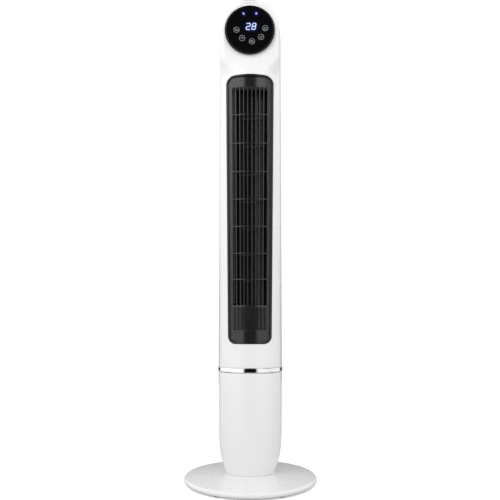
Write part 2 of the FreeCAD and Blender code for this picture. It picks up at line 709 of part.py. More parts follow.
cup = box(-44.8, 44.8, 40.0, 80.0, 962.2, 995.8).cut(box(-42.6, 42.6, 42.2, 81.0, 964.4, 993.6))
cup = cup.common(rear_solid(0.3, 900.0, split))
feature("handle_cup", cup)

# long screws enter from the back, heads at the bottom of the wells
feature("housing_screws", Part.makeCompound(
    [screw(x, 24.0 + 1.8, z, 30.0, 1.6, 3.2, 1.8, V(0, -1, 0)) for x, z in TOWERS]))

# ------------------------------------------------------- front grille
c_y = n.face_radius - n.half_depth
gap = n.grille_gap
strip = n.trim_strip
trim_out = taper_prism(n.window_half_low - 0.2, n.window_half_high - 0.2, n.window_bottom + 0.2,
                       n.window_top - 0.2, 16.8, 17.8)
trim_in = taper_prism(n.window_half_low - strip, n.window_half_high - strip,
                      n.window_bottom + 4.0, n.window_top - 5.5, 11.0, 12.0)
trim = trim_out.cut(trim_in).common(shell_band(n.face_radius + 0.6, n.face_radius - 5.0, 300, 920))
# flange behind the housing wall
lip = taper_prism(n.window_half_low + 3.0, n.window_half_high + 3.0, n.window_bottom - 3.0,
                  n.window_top + 3.0, 18.0, 19.0).cut(trim_in)
lip = lip.common(shell_band(n.face_radius - n.shell_wall - 0.3, n.face_radius - 5.0, 300, 920))
trim = trim.fuse(lip).removeSplitter()
feature("grille_trim", trim)

g_out = taper_prism(n.window_half_low - strip - gap, n.window_half_high - strip - gap,
                    n.window_bottom + 4.0 + gap, n.window_top - 5.5 - gap, 10.5, 11.5)


def half_at(z, low, high, z0, z1):
    return low + (high - low) * (z - z0) / (z1 - z0)


RIBS = [821.9, 756.0, 691.3, 628.8, 567.4, 507.4, 449.8]
slot_wall = taper_prism(n.slot_half_low, n.slot_half_high, n.slot_bottom, n.slot_top, 2.0, 2.0)
frame_part = g_out.cut(slot_wall).common(
    shell_band(n.face_radius - 0.4, n.face_radius - 0.4 - n.grille_sheet, 300, 920))
pieces = [frame_part]
sheet_band = shell_band(n.face_radius - 0.7, n.face_radius - 3.4, n.slot_bottom - 1, n.slot_top + 1)
deep_band = shell_band(n.face_radius - 0.9, n.face_radius - 8.0, n.slot_bottom - 1, n.slot_top + 1)
for i in range(8):
    k = i - 3.5
    x_top, x_low = k * 9.22, k * 8.25
    w = n.bar_width / 2.0
    bar = Part.Face(Part.makePolygon([
        V(x_low - w, -100, n.slot_bottom - 1), V(x_low + w, -100, n.slot_bottom - 1),
        V(x_top + w, -100, n.slot_top + 1), V(x_top - w, -100, n.slot_top + 1),
        V(x_low - w, -100, n.slot_bottom - 1)])).extrude(V(0, 100, 0))
    pieces.append(bar.common(sheet_band))
for z in RIBS:
    hw = half_at(z, n.slot_half_low, n.slot_half_high, n.slot_bottom, n.slot_top) + 1.0
    slab = box(-hw, hw, -80, -40, z - n.rib_height / 2, z + n.rib_height / 2)
    pieces.append(slab.common(deep_band))
grille = fuse(pieces)
# shallow upright flutes in the blanked foot of the grille
flutes = []
band = shell_band(n.face_radius + 5, n.face_radius - 1.3, n.blank_bottom, n.slot_bottom - 4)
for i in range(9):
    k = i - 4.0
    flutes.append(box(k * 8.2 - 2.1, k * 8.2 + 2.1, -100, 0, n.blank_bottom, n.slot_bottom - 4.0).common(band))
grille = grille.cut(flutes)
feature("front_grille", grille)

# toothed guide strip behind the left-hand slot
comb = shell_band(n.face_radius - 10.0, n.face_radius - 12.0, n.slot_bottom + 4, n.slot_top - 4)
comb = comb.common(box(-38.5, -33.5, -100, 0, n.slot_bottom + 4, n.slot_top - 4))
teeth = []
z = n.slot_bottom + 8
while z < n.slot_top - 8:
    teeth.append(box(-36.5, -30.5, -50.4, -45.0, z, z + 2.2))
    z += 8.6
comb = fuse([comb] + teeth)
feature("louvre_comb", comb)

# ---------------------------------------------------------- air passage
ax, ay = 0.0, n.axis_back


def arc_wall(r0, r1, a0, a1, thick, z0, z1, steps=10):
    """Upright scroll wall whose radius grows from r0 to r1."""
    inner_pts, outer_pts = [], []
    for i in range(steps + 1):
        t = i / float(steps)
        a = math.radians(a0 + (a1 - a0) * t)
        r = r0 + (r1 - r0) * t
        inner_pts.append(V(ax + r * math.cos(a), ay + r * math.sin(a), z0))
        outer_pts.append(V(ax + (r + thick) * math.cos(a), ay + (r + thick) * math.sin(a), z0))
    curve_in = Part.BSplineCurve()
    curve_in.interpolate(inner_pts)
    curve_out = Part.BSplineCurve()
    curve_out.interpolate(outer_pts)
    wire = Part.Wire([curve_in.toShape(),
                      Part.LineSegment(inner_pts[-1], outer_pts[-1]).toShape(),
                      curve_out.toShape(),
                      Part.LineSegment(outer_pts[0], inner_pts[0]).toShape()])
    return Part.Face(wire).extrude(V(0, 0, z1 - z0))


guide = arc_wall(47.0, 57.0, 75.0, -32.0, 2.0, 384.0, 896.0)
lead = Part.Face(Part.makePolygon([
    V(48.3, -28.2, 384), V(50.0, -29.2, 384), V(45.5, -49.0, 384), V(43.5, -49.0, 384),
    V(48.3, -28.2, 384)])).extrude(V(0, 0, 512))
guide = guide.fuse(lead).removeSplitter()
feature("air_guide", guide)
tongue = Part.Face(Part.makePolygon([
    V(-47.5, -14.0, 384), V(-45.0, -16.0, 384), V(-42.5, -26.0, 384), V(-43.0, -45.0, 384),
    V(-45.2, -45.0, 384), V(-46.0, -26.0, 384), V(-54.0, -17.0, 384), V(-54.0, -14.0, 384),
    V(-47.5, -14.0, 384)])).extrude(V(0, 0, 512))
feature("air_tongue", tongue)


def end_plate(z0, z1, bore):
    p = section_prism(n.shell_wall + 0.6, z0, z1)
    keepout = [cyl(6.0, 200, x, -100, z, V(0, 1, 0)) for x, z in TOWERS]
    p = p.cut([cyl(bore, 20, ax, ay, z0 - 5), box(-100, 100, -80, -39.0, z0 - 5, z1 + 5),
               cyl(3.4, 20, 0, 56.0, z0 - 5)])
    return p


feature("duct_bottom_plate", end_plate(380.6, 383.6, 12.0))
feature("duct_top_plate", end_plate(896.3, 899.3, 14.0))

revolved("bearing_holder", [
    (6.0, 890.5), (10.0, 890.5), (13.8, 893.0), (13.8, 899.4), (17.0, 899.4), (17.0, 902.0),
    (9.0, 903.5), (9.0, 901.5), (6.0, 901.5)], AT_AXIS)
revolved("upper_bearing", [
    (d.shaft_radius + 0.06, 892.0), (6.0, 892.0), (6.0, 901.0), (d.shaft_radius + 0.06, 901.0)], AT_AXIS)

# impeller: two end discs, seven stiffening rings, forward-curved blades
drum_r = n.drum_radius
blade_c = V(drum_r - 6.0, 4.5, 0)
p1, p2 = V(30.6, 0.0, n.drum_bottom + 1), V(drum_r - 1.0, 7.6, n.drum_bottom + 1)
pm = V(36.9, 2.2, n.drum_bottom + 1)
t_off = 1.3
q1, q2 = V(30.9, -t_off, n.drum_bottom + 1), V(drum_r - 0.2, 6.6, n.drum_bottom + 1)
qm = V(37.5, 1.0, n.drum_bottom + 1)
profile = Part.Wire([Part.Arc(p1, pm, p2).toShape(), Part.LineSegment(p2, q2).toShape(),
                     Part.Arc(q2, qm, q1).toShape(), Part.LineSegment(q1, p1).toShape()])
blade = Part.Face(profile).extrude(V(0, 0, n.drum_top - n.drum_bottom - 2))
drum = [cyl(drum_r, 2.5, 0, 0, n.drum_bottom), cyl(drum_r, 2.5, 0, 0, n.drum_top - 2.5),
        cyl(9.0, 6.0, 0, 0, n.drum_bottom + 2), cyl(9.0, 6.0, 0, 0, n.drum_top - 8)]
for i in range(int(n.blade_count)):
    b = blade.copy()
    b.rotate(V(0, 0, 0), V(0, 0, 1), 360.0 * i / n.blade_count)
    drum.append(b)
for z in RIBS:
    drum.append(cyl(drum_r, 2.0, 0, 0, z - 4.0).cut(cyl(30.0, 4, 0, 0, z - 5.0)))
drum = fuse(drum)
drum = drum.cut([cyl(n.shaft_radius, 12, 0, 0, n.drum_bottom - 1), cyl(n.shaft_radius, 12, 0, 0, n.drum_top - 9)])
drum.translate(V(ax, ay, 0))
feature("impeller_drum", drum)

shaft = doc.addObject("Part::Cylinder", "TopShaft")
bind(shaft, "Radius", d.shaft_radius)
shaft.Height = 22.0
shaft.Placement = FreeCAD.Placement(V(ax, ay, n.drum_top - 8), FreeCAD.Rotation())
keep("impeller_shaft", shaft)

# ------------------------------------------------------------ fan motor
revolved("motor_rotor", [
    (0.0, 276.0), (d.shaft_radius, 276.0), (d.shaft_radius, 296.0), (19.0, 296.0), (19.0, 326.0),
    (d.shaft_radius, 326.0), (d.shaft_radius, 399.9), (0.0, 399.9)], AT_AXIS)
revolved("motor_stator", [
    (19.6, 293.0), (38.0, 293.0), (38.0, 329.0), (19.6, 329.0)], AT_AXIS)
revolved("motor_lower_cap", [
    (d.shaft_radius + 0.08, 278.0), (9.0, 278.0), (9.0, 284.0), (36.0, 286.0), (40.5, 290.0),
    (40.5, 310.8), (38.1, 310.8), (38.1, 292.9), (33.0, 292.9), (30.0, 289.0), (9.0, 287.0),
    (d.shaft_radius + 0.08, 287.0)], AT_AXIS)
cap = revolved("motor_upper_cap", [
    (d.shaft_radius + 0.08, 335.0), (9.0, 335.0), (30.0, 333.0), (33.0, 329.1), (38.1, 329.1),
    (38.1, 311.2), (40.5, 311.2), (40.5, 332.0), (46.5, 332.0), (46.5, 334.5), (38.0, 337.0), (9.0, 338.5),
    (9.0, 344.0), (d.shaft_radius + 0.08, 344.0)], AT_AXIS)
holes(cap, "cap_ears", [(43.2, 0.0, 1.9)], 330.0, 6.0, 4)
ears = [(43.2, 0.0), (0.0, 43.2), (-43.2, 0.0), (0.0, -43.2)]
bracket = end_plate(375.6, 380.4, 12.0).common(cyl(56.0, 10, ax, ay, 373.0))
bracket = bracket.fuse([cyl(4.2, 34.0, ax + x, ay + y, 342.0) for x, y in ears]).removeSplitter()
bracket = bracket.cut([cyl(1.5, 20.0, ax + x, ay + y, 341.0) for x, y in ears])
feature("motor_bracket", bracket)
damp = []
for x, y in ears:
    t = cyl(3.2, 5.4, ax + x, ay + y, 336.4).cut(cyl(1.6, 6, ax + x, ay + y, 336.2))
    damp.append(t)
feature("motor_dampers", Part.makeCompound(damp))
feature("motor_screws", Part.makeCompound(
    [screw(ax + x, ay + y, 330.0, 24.0, 1.45, 2.5, 1.8) for x, y in ears]))
revolved("shaft_coupling", [
    (d.shaft_radius, 362.0), (9.5, 362.0), (9.5, 374.0), (8.0, 376.0), (8.0, 391.9), (d.shaft_radius, 391.9)],
    AT_AXIS)
PARTS.pop()
hub = doc.getObject("Body_shaft_coupling")
hub.Label = "coupling_turning"
screw_way = doc.addObject("Part::Cylinder", "ScrewWay")
screw_way.Radius, screw_way.Height = 1.5, 8.0
screw_way.Placement = FreeCAD.Placement(V(ax + 4.0, ay, 368.0), FreeCAD.Rotation(V(0, 1, 0), 90))
drilled = doc.addObject("Part::Cut", "DrilledCoupling")
drilled.Base, drilled.Tool = hub, screw_way
keep("shaft_coupling", drilled)
feature("coupling_screw", cyl(1.5, 5.4, ax + 9.7, ay, 368.0, V(-1, 0, 0)))

# ------------------------------------------------------------ electrics
board = doc.addObject("Part::Box", "MainBoard")
board.Length, board.Width, board.Height = 74.0, 1.6, 66.0
board.Placement = FreeCAD.Placement(V(-37.0, 51.2, 276.0), FreeCAD.Rotation())
keep("main_board", board)
parts = []
for x, z, w, hh, t in ((-32, 280, 16, 18, 6), (-10, 282, 12, 12, 4), (8, 282, 20, 9, 6),
                       (-30, 306, 12, 28, 4), (12, 300, 18, 15, 6), (20, 322, 14, 12, 3)):
    parts.append(box(x, x + w, 51.2 - t, 51.2, z, z + hh))
feature("board_components", Part.makeCompound(parts))
revolved("run_capacitor", [
    (0.0, 0.0), (9.0, 0.0), (9.5, 0.8), (9.5, 37.0), (8.6, 38.0), (0.0, 38.0)],
    FreeCAD.Placement(V(46.0, -18.0, 272.0), FreeCAD.Rotation()))
block = fuse([box(-56.0, -40.0, -30.0, 6.0 - 1, n.chassis_top, n.chassis_top + 10)])
block = block.cut([cyl(2.0, 7.0, -48.0, -26.0 + 7.0 * i, n.chassis_top + 4) for i in range(5)])
feature("terminal_block", block)
feature("wiring_loom", cyl(2.6, 690.0, 0, 56.0, 262.0))

# ------------------------------------------------------------- head
FRONT = FreeCAD.Rotation(V(1, 0, 0), 90)      # local +Z looks out of the front
panel_at = FreeCAD.Placement(V(0, 0, n.panel_centre), FRONT)
revolved("panel_bezel", [
    (d.panel_radius - 3.0, d.head_front), (d.panel_radius, d.head_front),
    (d.panel_radius, d.panel_front - 1.6), (d.panel_radius - 1.2, d.panel_front - 0.6),
    (d.panel_radius - 2.0, d.panel_front - 0.6), (d.panel_radius - 2.0, d.head_front + 1.2),
    (d.panel_radius - 3.0, d.head_front + 1.2)], panel_at)
revolved("panel_lens", [
    (0.0, d.head_front + 1.3), (d.panel_radius - 2.1, d.head_front + 1.3),
    (d.panel_radius - 2.1, d.panel_front - 0.9), (d.panel_radius - 3.2, d.panel_front),
    (0.0, d.panel_front)], panel_at)
pcb = doc.addObject("Part::Cylinder", "ControlBoard")
pcb.Radius, pcb.Height = 46.0, 1.6
pcb.Placement = FreeCAD.Placement(V(0, -48.0, n.panel_centre), FRONT)
keep("control_board", pcb)
module = doc.addObject("Part::Box", "DisplayModule")
module.Length, module.Width, module.Height = 34.0, 8.2, 24.0
module.Placement = FreeCAD.Placement(V(-14.0, -58.0, n.panel_centre - 4.0), FreeCAD.Rotation())
keep("display_module", module)
KEYS = [(-30.0, 1.0), (-17.0, -19.0), (5.7, -27.0), (26.8, -17.0), (35.8, 4.0)]
springs = []
for x, z in KEYS:
    s = cyl(4.2, 10.4, x, -49.8, n.panel_centre + z, V(0, -1, 0)).cut(
        cyl(3.4, 12, x, -49.0, n.panel_centre + z, V(0, -1, 0)))
    springs.append(s)
feature("touch_springs", Part.makeCompound(springs))
lamp = []
for x, z in ((-14.0, 39.5), (15.5, 40.0)):
    lamp.append(cyl(2.5, 8.0, x, -49.8, n.panel_centre + z, V(0, -1, 0)))
feature("indicator_leds", Part.makeCompound(lamp))

# ------------------------------------------------------------- checking
doc.recompute()
for obj in doc.Objects:
    bad = [s for s in obj.State if s in ("Invalid", "Error")]
    if bad:
        raise RuntimeError("%s is %s" % (obj.Name, bad))
labels = [label for label, obj in PARTS]
if len(set(labels)) != len(labels):
    raise RuntimeError("two parts share a label")
for label, obj in PARTS:
    if obj.Shape.isNull() or not obj.Shape.isValid():
        raise RuntimeError(label + " has no valid shape")
    if not obj.Shape.Solids:
        raise RuntimeError(label + " has no solid")

os.makedirs("parts", exist_ok=True)
for label, obj in PARTS:
    obj.Shape.exportStep("parts/%s.step" % label)
    print("%-20s solids %2d faces %4d volume %10.1f" % (
        label, len(obj.Shape.Solids), len(obj.Shape.Faces), obj.Shape.Volume))
print("parts:", len(PARTS))
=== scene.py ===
import bpy
import bmesh
import math
from mathutils import Vector, Matrix


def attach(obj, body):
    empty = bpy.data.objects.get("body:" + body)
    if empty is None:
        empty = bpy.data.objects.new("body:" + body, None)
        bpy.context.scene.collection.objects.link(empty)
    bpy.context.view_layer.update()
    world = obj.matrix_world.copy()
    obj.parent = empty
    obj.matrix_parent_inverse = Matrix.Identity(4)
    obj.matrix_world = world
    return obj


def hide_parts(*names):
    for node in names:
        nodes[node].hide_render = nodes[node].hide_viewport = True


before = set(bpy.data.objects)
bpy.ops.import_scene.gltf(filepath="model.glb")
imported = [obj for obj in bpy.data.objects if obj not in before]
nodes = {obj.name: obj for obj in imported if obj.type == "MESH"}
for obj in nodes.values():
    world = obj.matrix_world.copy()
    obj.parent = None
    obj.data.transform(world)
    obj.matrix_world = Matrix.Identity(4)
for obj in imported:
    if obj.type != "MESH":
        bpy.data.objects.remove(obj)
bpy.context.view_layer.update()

MM = 0.001
scene = bpy.context.scene

# ------------------------------------------------------------------ sizes
# every size in millimetres; the fan's own frame (front is -Y, floor is z 0)
HALF_W, HALF_D, FACE_R, CORNER_R = 71.5, 66.0, 130.0, 48.0
ARCH_Z, ARCH_RISE, ARCH_N = 1012.0, 86.0, 2.3
HEAD_F, HEAD_R, HEAD_BOW = 60.0, 10.0, 3.2
BEND_0, BEND_1 = 915.0, 964.0
SPLIT_F, SPLIT_B = 5.8, 6.2
SHELL_Z0, SHELL_T = 256.3, 2.5
WIN_Z0, WIN_Z1, WIN_LOW, WIN_HIGH = 308.5, 913.2, 47.9, 54.7
SLOT_Z0, SLOT_Z1, SLOT_LOW, SLOT_HIGH = 392.2, 885.5, 37.0, 40.0
BLANK_Z0 = 338.9
RIBS = [821.9, 756.0, 691.3, 628.8, 567.4, 507.4, 449.8]
PANEL_Z, PANEL_R, PANEL_F = 1019.0, 57.2, 67.2
PEDESTAL = [(24.5, 54.4), (28.0, 55.3), (32.0, 56.7), (38.0, 59.0), (48.0, 62.4), (57.0, 65.0),
            (66.0, 66.9), (74.0, 68.1), (83.0, 69.1), (92.0, 69.8), (110.0, 70.7), (130.0, 71.1),
            (160.0, 71.25), (200.0, 71.4), (245.4, 71.5)]


def corner_centre():
    c1 = (0.0, FACE_R - HALF_D)
    c2 = (HALF_W - FACE_R, 0.0)
    reach = FACE_R - CORNER_R
    mx, my = (c1[0] + c2[0]) / 2, (c1[1] + c2[1]) / 2
    dx, dy = c2[0] - c1[0], c2[1] - c1[1]
    length = math.hypot(dx, dy)
    rise = math.sqrt(reach * reach - length * length / 4)
    for sign in (1, -1):
        px, py = mx - dy / length * rise * sign, my + dx / length * rise * sign
        if px > 0 and py < 0:
            return px, py


CX, CY = corner_centre()
C_FRONT = (0.0, FACE_R - HALF_D)
C_SIDE = (HALF_W - FACE_R, 0.0)
PHI_1 = math.atan2(CY - C_SIDE[1], CX - C_SIDE[0])        # side to corner
PHI_2 = math.atan2(CY - C_FRONT[1], CX - C_FRONT[0])      # corner to front


def arc_point(centre, radius, phi, o=0.0, scale=1.0):
    r = radius - o
    return ((centre[0] + r * math.cos(phi)) * scale, (centre[1] + r * math.sin(phi)) * scale)


def face_y(x):
    """Front surface of the column at that x, and its outward normal."""
    ax = abs(x)
    x_join = C_FRONT[0] + FACE_R * math.cos(PHI_2)
    if ax <= x_join:
        y = C_FRONT[1] - math.sqrt(FACE_R ** 2 - x * x)
        return y, (x / FACE_R, (y - C_FRONT[1]) / FACE_R)
    k = min(CORNER_R - 0.01, ax - CX)
    y = CY - math.sqrt(CORNER_R ** 2 - k * k)
    n = ((ax - CX) / CORNER_R, (y - CY) / CORNER_R)
    return y, (math.copysign(n[0], x), n[1])


def on_face(x, z, height):
    y, n = face_y(x)
    return Vector((x + n[0] * height, y + n[1] * height, z))


def smooth(t):
    t = max(0.0, min(1.0, t))
    return t * t * (3 - 2 * t)


# --------------------------------------------------------- mesh building
def link(obj):
    scene.collection.objects.link(obj)
    return obj


def finish_mesh(name, bm, material, sharp=38.0, merge=0.004):
    """Millimetre bmesh to a metre object with soft and sharp edges."""
    bmesh.ops.remove_doubles(bm, verts=bm.verts, dist=merge)
    bmesh.ops.dissolve_degenerate(bm, edges=bm.edges, dist=0.0005)
    bmesh.ops.recalc_face_normals(bm, faces=bm.faces)
    for f in bm.faces:
        f.smooth = True
    limit = math.radians(sharp)
    for e in bm.edges:
        if len(e.link_faces) == 2:
            e.smooth = e.calc_face_angle(0.0) < limit
        else:
            e.smooth = False
    for v in bm.verts:
        v.co *= MM
    mesh = bpy.data.meshes.new(name)
    bm.to_mesh(mesh)
    bm.free()
    obj = link(bpy.data.objects.new(name, mesh))
    if material is not None:
        mesh.materials.append(material)
    return obj


def grid(bm, rows, closed=False):
    """Quads through rows of points; returns the vertex rows."""
    out = [[bm.verts.new(p) for p in row] for row in rows]
    for a, b in zip(out, out[1:]):
        count = len(a)
        for i in range(count if closed else count - 1):
            j = (i + 1) % count
            quad = [a[i], a[j], b[j], b[i]]
            try:
                bm.faces.new(quad)
            except ValueError:
                pass
    return out


def tube_sweep(bm, loops, ends=True):
    """Closed cross-section loops joined along a path, with end caps."""
    rows = grid(bm, loops, closed=True)
    if ends:
        bm.faces.new(list(reversed(rows[0])))
        bm.faces.new(rows[-1])


def ring_sweep(bm, loops):
    """Closed cross-section loops joined round a closed path."""
    rows = [[bm.verts.new(p) for p in loop] for loop in loops]
    for k in range(len(rows)):
        a, b = rows[k], rows[(k + 1) % len(rows)]
        for i in range(len(a)):
            j = (i + 1) % len(a)
            bm.faces.new([a[i], a[j], b[j], b[i]])


def lathe(bm, profile, segments, frame_at, closed=True):
    """Turned shape; profile in (radius, height), frame_at maps
    (x, y, height) to the fan's frame."""
    rows = []
    for k in range(segments):
        a = 2 * math.pi * k / segments
        rows.append([frame_at(r * math.cos(a), r * math.sin(a), h) for r, h in profile])
    verts = [[bm.verts.new(p) for p in row] for row in rows]
    count = len(profile)
    for k in range(segments):
        a, b = verts[k], verts[(k + 1) % segments]
        for i in range(count if closed else count - 1):
            j = (i + 1) % count
            if (Vector(a[i].co) - Vector(b[i].co)).length < 1e-7 and \
               (Vector(a[j].co) - Vector(b[j].co)).length < 1e-7:
                continue
            try:
                bm.faces.new([a[i], b[i], b[j], a[j]])
            except ValueError:
                pass


def rounded(points, radius, steps=5):
    """Rounds every corner of a closed outline of (a, b) pairs."""
    out = []
    count = len(points)
    for i in range(count):
        p0 = Vector(points[i - 1]).to_2d()
        p1 = Vector(points[i]).to_2d()
        p2 = Vector(points[(i + 1) % count]).to_2d()
        d0, d2 = (p0 - p1), (p2 - p1)
        r = radius[i] if isinstance(radius, (list, tuple)) else radius
        r = min(r, d0.length * 0.48, d2.length * 0.48)
        if r < 1e-4:
            out.append((p1.x, p1.y))
            continue
        a, b = p1 + d0.normalized() * r, p1 + d2.normalized() * r
        for k in range(steps + 1):
            t = k / steps
            q = a * (1 - t) ** 2 + p1 * (2 * t * (1 - t)) + b * t ** 2
            out.append((q.x, q.y))
    return out


def taper_outline(low, high, z0, z1, r_low, r_high, corner=10, edge_step=9.0):
    """Tall outline with rounded corners: (x, z, nx, nz) going round."""
    slope = math.atan2(high - low, z1 - z0)

    def corner_arc(hx, z, r, top):
        along = Vector((-math.sin(slope), -math.cos(slope))) if top else Vector((math.sin(slope), math.cos(slope)))
        turn = math.pi / 2 + (slope if top else -slope)
        t = r * math.tan(turn / 2)
        p = Vector((hx, z))
        a = p + along * t
        b = p + Vector((-t, 0.0))
        bis = (along + Vector((-1.0, 0.0))).normalized()
        centre = p + bis * (r / math.sin((math.pi - turn) / 2))
        return a, b, centre

    a1, b1, c1 = corner_arc(low, z0, r_low, False)
    a2, b2, c2 = corner_arc(high, z1, r_high, True)
    pts = []

    def line(p, q, nrm):
        steps = max(1, int((q - p).length / edge_step))
        for k in range(steps):
            m = p.lerp(q, k / steps)
            pts.append((m.x, m.y, nrm.x, nrm.y))

    def arc(p, q, c):
        u, w = (p - c), (q - c)
        a0, a1_ = math.atan2(u.y, u.x), math.atan2(w.y, w.x)
        while a1_ < a0:
            a1_ += 2 * math.pi
        for k in range(corner):
            a = a0 + (a1_ - a0) * k / corner
            pts.append((c.x + u.length * math.cos(a), c.y + u.length * math.sin(a), math.cos(a), math.sin(a)))

    n_side = Vector((math.cos(slope), -math.sin(slope)))
    line(a1, a2, n_side)
    arc(a2, b2, c2)
    line(b2, Vector((-b2.x, b2.y)), Vector((0, 1)))
    arc(Vector((-b2.x, b2.y)), Vector((-a2.x, a2.y)), Vector((-c2.x, c2.y)))
    line(Vector((-a2.x, a2.y)), Vector((-a1.x, a1.y)), Vector((-n_side.x, n_side.y)))
    arc(Vector((-a1.x, a1.y)), Vector((-b1.x, b1.y)), Vector((-c1.x, c1.y)))
    line(Vector((-b1.x, b1.y)), b1, Vector((0, -1)))
    arc(b1, a1, c1)
    return pts


def arched(outline, rise):
    """Lifts the top edge of a tall outline into a shallow arch."""
    top = max(p[1] for p in outline)
    out = []
    for p in outline:
        k = smooth((p[1] - (top - 60.0)) / 60.0)
        lift = rise * (1.45 * (1 - min(1.0, abs(p[0]) / 46.0) ** 2) - 0.45) * k
        out.append((p[0], p[1] + lift) + tuple(p[2:]))
    return out


def inside(poly, x, z):
    hit = False
    j = len(poly) - 1
    for i in range(len(poly)):
        xi, zi, xj, zj = poly[i][0], poly[i][1], poly[j][0], poly[j][1]
        if (zi > z) != (zj > z) and x < (xj - xi) * (z - zi) / (zj - zi) + xi:
            hit = not hit
        j = i
    return hit


def nearest(poly, x, z):
    best, where = 1e9, None
    j = len(poly) - 1
    for i in range(len(poly)):
        ax, az, bx, bz = poly[j][0], poly[j][1], poly[i][0], poly[i][1]
        dx, dz = bx - ax, bz - az
        ll = dx * dx + dz * dz
        t = 0.0 if ll < 1e-12 else max(0.0, min(1.0, ((x - ax) * dx + (z - az) * dz) / ll))
        px, pz = ax + dx * t, az + dz * t
        dd = (px - x) ** 2 + (pz - z) ** 2
        if dd < best:
            best, where = dd, (px, pz)
        j = i
    return where


def open_hole(bm, poly, place, keep_inside=False):
    """Removes the faces inside an outline seen from the front (or those
    outside it) and draws the cut edge onto the outline."""
    lows = (min(p[0] for p in poly) - 3, min(p[1] for p in poly) - 3)
    highs = (max(p[0] for p in poly) + 3, max(p[1] for p in poly) + 3)
    doomed = []
    for f in bm.faces:
        c = f.calc_center_median()
        if lows[0] <= c.x <= highs[0] and lows[1] <= c.z <= highs[1]:
            if inside(poly, c.x, c.z) != keep_inside:
                doomed.append(f)
        elif keep_inside:
            doomed.append(f)
    was_edge = {v for v in bm.verts if any(len(e.link_faces) < 2 for e in v.link_edges)}
    bmesh.ops.delete(bm, geom=doomed, context="FACES")
    bm.verts.ensure_lookup_table()
    for v in bm.verts:
        if v in was_edge and not keep_inside:
            continue
        if any(len(e.link_faces) == 1 for e in v.link_edges):
            x, z = v.co.x, v.co.z
            if lows[0] - 4 <= x <= highs[0] + 4 and lows[1] - 4 <= z <= highs[1] + 4:
                px, pz = nearest(poly, x, z)
                if (px - x) ** 2 + (pz - z) ** 2 < 64:
                    v.co = place(px, pz)


def thicken(bm, thickness):
    """Closes a sheet into a shell, adding the wall on its inner side."""
    bm.normal_update()
    bmesh.ops.recalc_face_normals(bm, faces=bm.faces)
    verts = list(bm.verts)
    normals = {}
    for v in verts:
        normals[v] = v.normal.copy()
    faces = list(bm.faces)
    borders = [e for e in bm.edges if len(e.link_faces) == 1]
    inner = {v: bm.verts.new(v.co - normals[v] * thickness) for v in verts if v.link_faces}
    for f in faces:
        bm.faces.new([inner[v] for v in reversed(list(f.verts))])
    for e in borders:
        a, b = e.verts
        try:
            bm.faces.new([a, b, inner[b], inner[a]])
        except ValueError:
            pass
    loose = [v for v in bm.verts if not v.link_faces]
    bmesh.ops.delete(bm, geom=loose, context="VERTS")


def aim_outward(bm, axis_z=True):
    """Points the sheet's normals away from the column's axis."""
    bmesh.ops.recalc_face_normals(bm, faces=bm.faces)
    total = 0.0
    for f in bm.faces:
        c = f.calc_center_median()
        total += (f.normal.x * c.x + f.normal.y * c.y) * f.calc_area()
    if total < 0:
        bmesh.ops.reverse_faces(bm, faces=bm.faces)


def shell_from_sheet(name, bm, thickness, material, sharp=38.0):
    bmesh.ops.remove_doubles(bm, verts=bm.verts, dist=0.004)
    aim_outward(bm)
    bm.normal_update()
    normals = {v: v.normal.copy() for v in bm.verts}
    faces = list(bm.faces)
    borders = [e for e in bm.edges if len(e.link_faces) == 1]
    inner = {v: bm.verts.new(v.co - normals[v] * thickness) for v in list(bm.verts) if v.link_faces}
    for f in faces:
        bm.faces.new([inner[v] for v in reversed(list(f.verts))])
    for e in borders:
        a, b = e.verts
        bm.faces.new([a, b, inner[b], inner[a]])
    bmesh.ops.delete(bm, geom=[v for v in bm.verts if not v.link_faces], context="VERTS")
    return finish_mesh(name, bm, material, sharp)


# ------------------------------------------------------------- materials
def new_material(name):
    m = bpy.data.materials.new(name)
    m.use_nodes = True
    tree = m.node_tree
    tree.nodes.clear()
    out = tree.nodes.new("ShaderNodeOutputMaterial")
    bsdf = tree.nodes.new("ShaderNodeBsdfPrincipled")
    tree.links.new(bsdf.outputs["BSDF"], out.inputs["Surface"])
    return m, tree, bsdf


def tint_noise(tree, bsdf, color, spread, scale, detail=4.0):
    """Base colour with a soft procedural variation."""
    coord = tree.nodes.new("ShaderNodeTexCoord")
    noise = tree.nodes.new("ShaderNodeTexNoise")
    noise.inputs["Scale"].default_value = scale
    noise.inputs["Detail"].default_value = detail
    tree.links.new(coord.outputs["Object"], noise.inputs["Vector"])
    ramp = tree.nodes.new("ShaderNodeValToRGB")
    ramp.color_ramp.elements[0].position = 0.3
    ramp.color_ramp.elements[1].position = 0.7
    ramp.color_ramp.elements[0].color = tuple(c * (1 - spread) for c in color) + (1,)
    ramp.color_ramp.elements[1].color = tuple(min(1, c * (1 + spread)) for c in color) + (1,)
    tree.links.new(noise.outputs["Fac"], ramp.inputs["Fac"])
    tree.links.new(ramp.outputs["Color"], bsdf.inputs["Base Color"])
    return coord, noise


def rough_noise(tree, bsdf, coord, low, high, scale):
    noise = tree.nodes.new("ShaderNodeTexNoise")
    noise.inputs["Scale"].default_value = scale
    noise.inputs["Detail"].default_value = 3.0
    tree.links.new(coord.outputs["Object"], noise.inputs["Vector"])
    span = tree.nodes.new("ShaderNodeMapRange")
    span.inputs["From Min"].default_value = 0.3
    span.inputs["From Max"].default_value = 0.7
    span.inputs["To Min"].default_value = low
    span.inputs["To Max"].default_value = high
    tree.links.new(noise.outputs["Fac"], span.inputs["Value"])
    tree.links.new(span.outputs["Result"], bsdf.inputs["Roughness"])


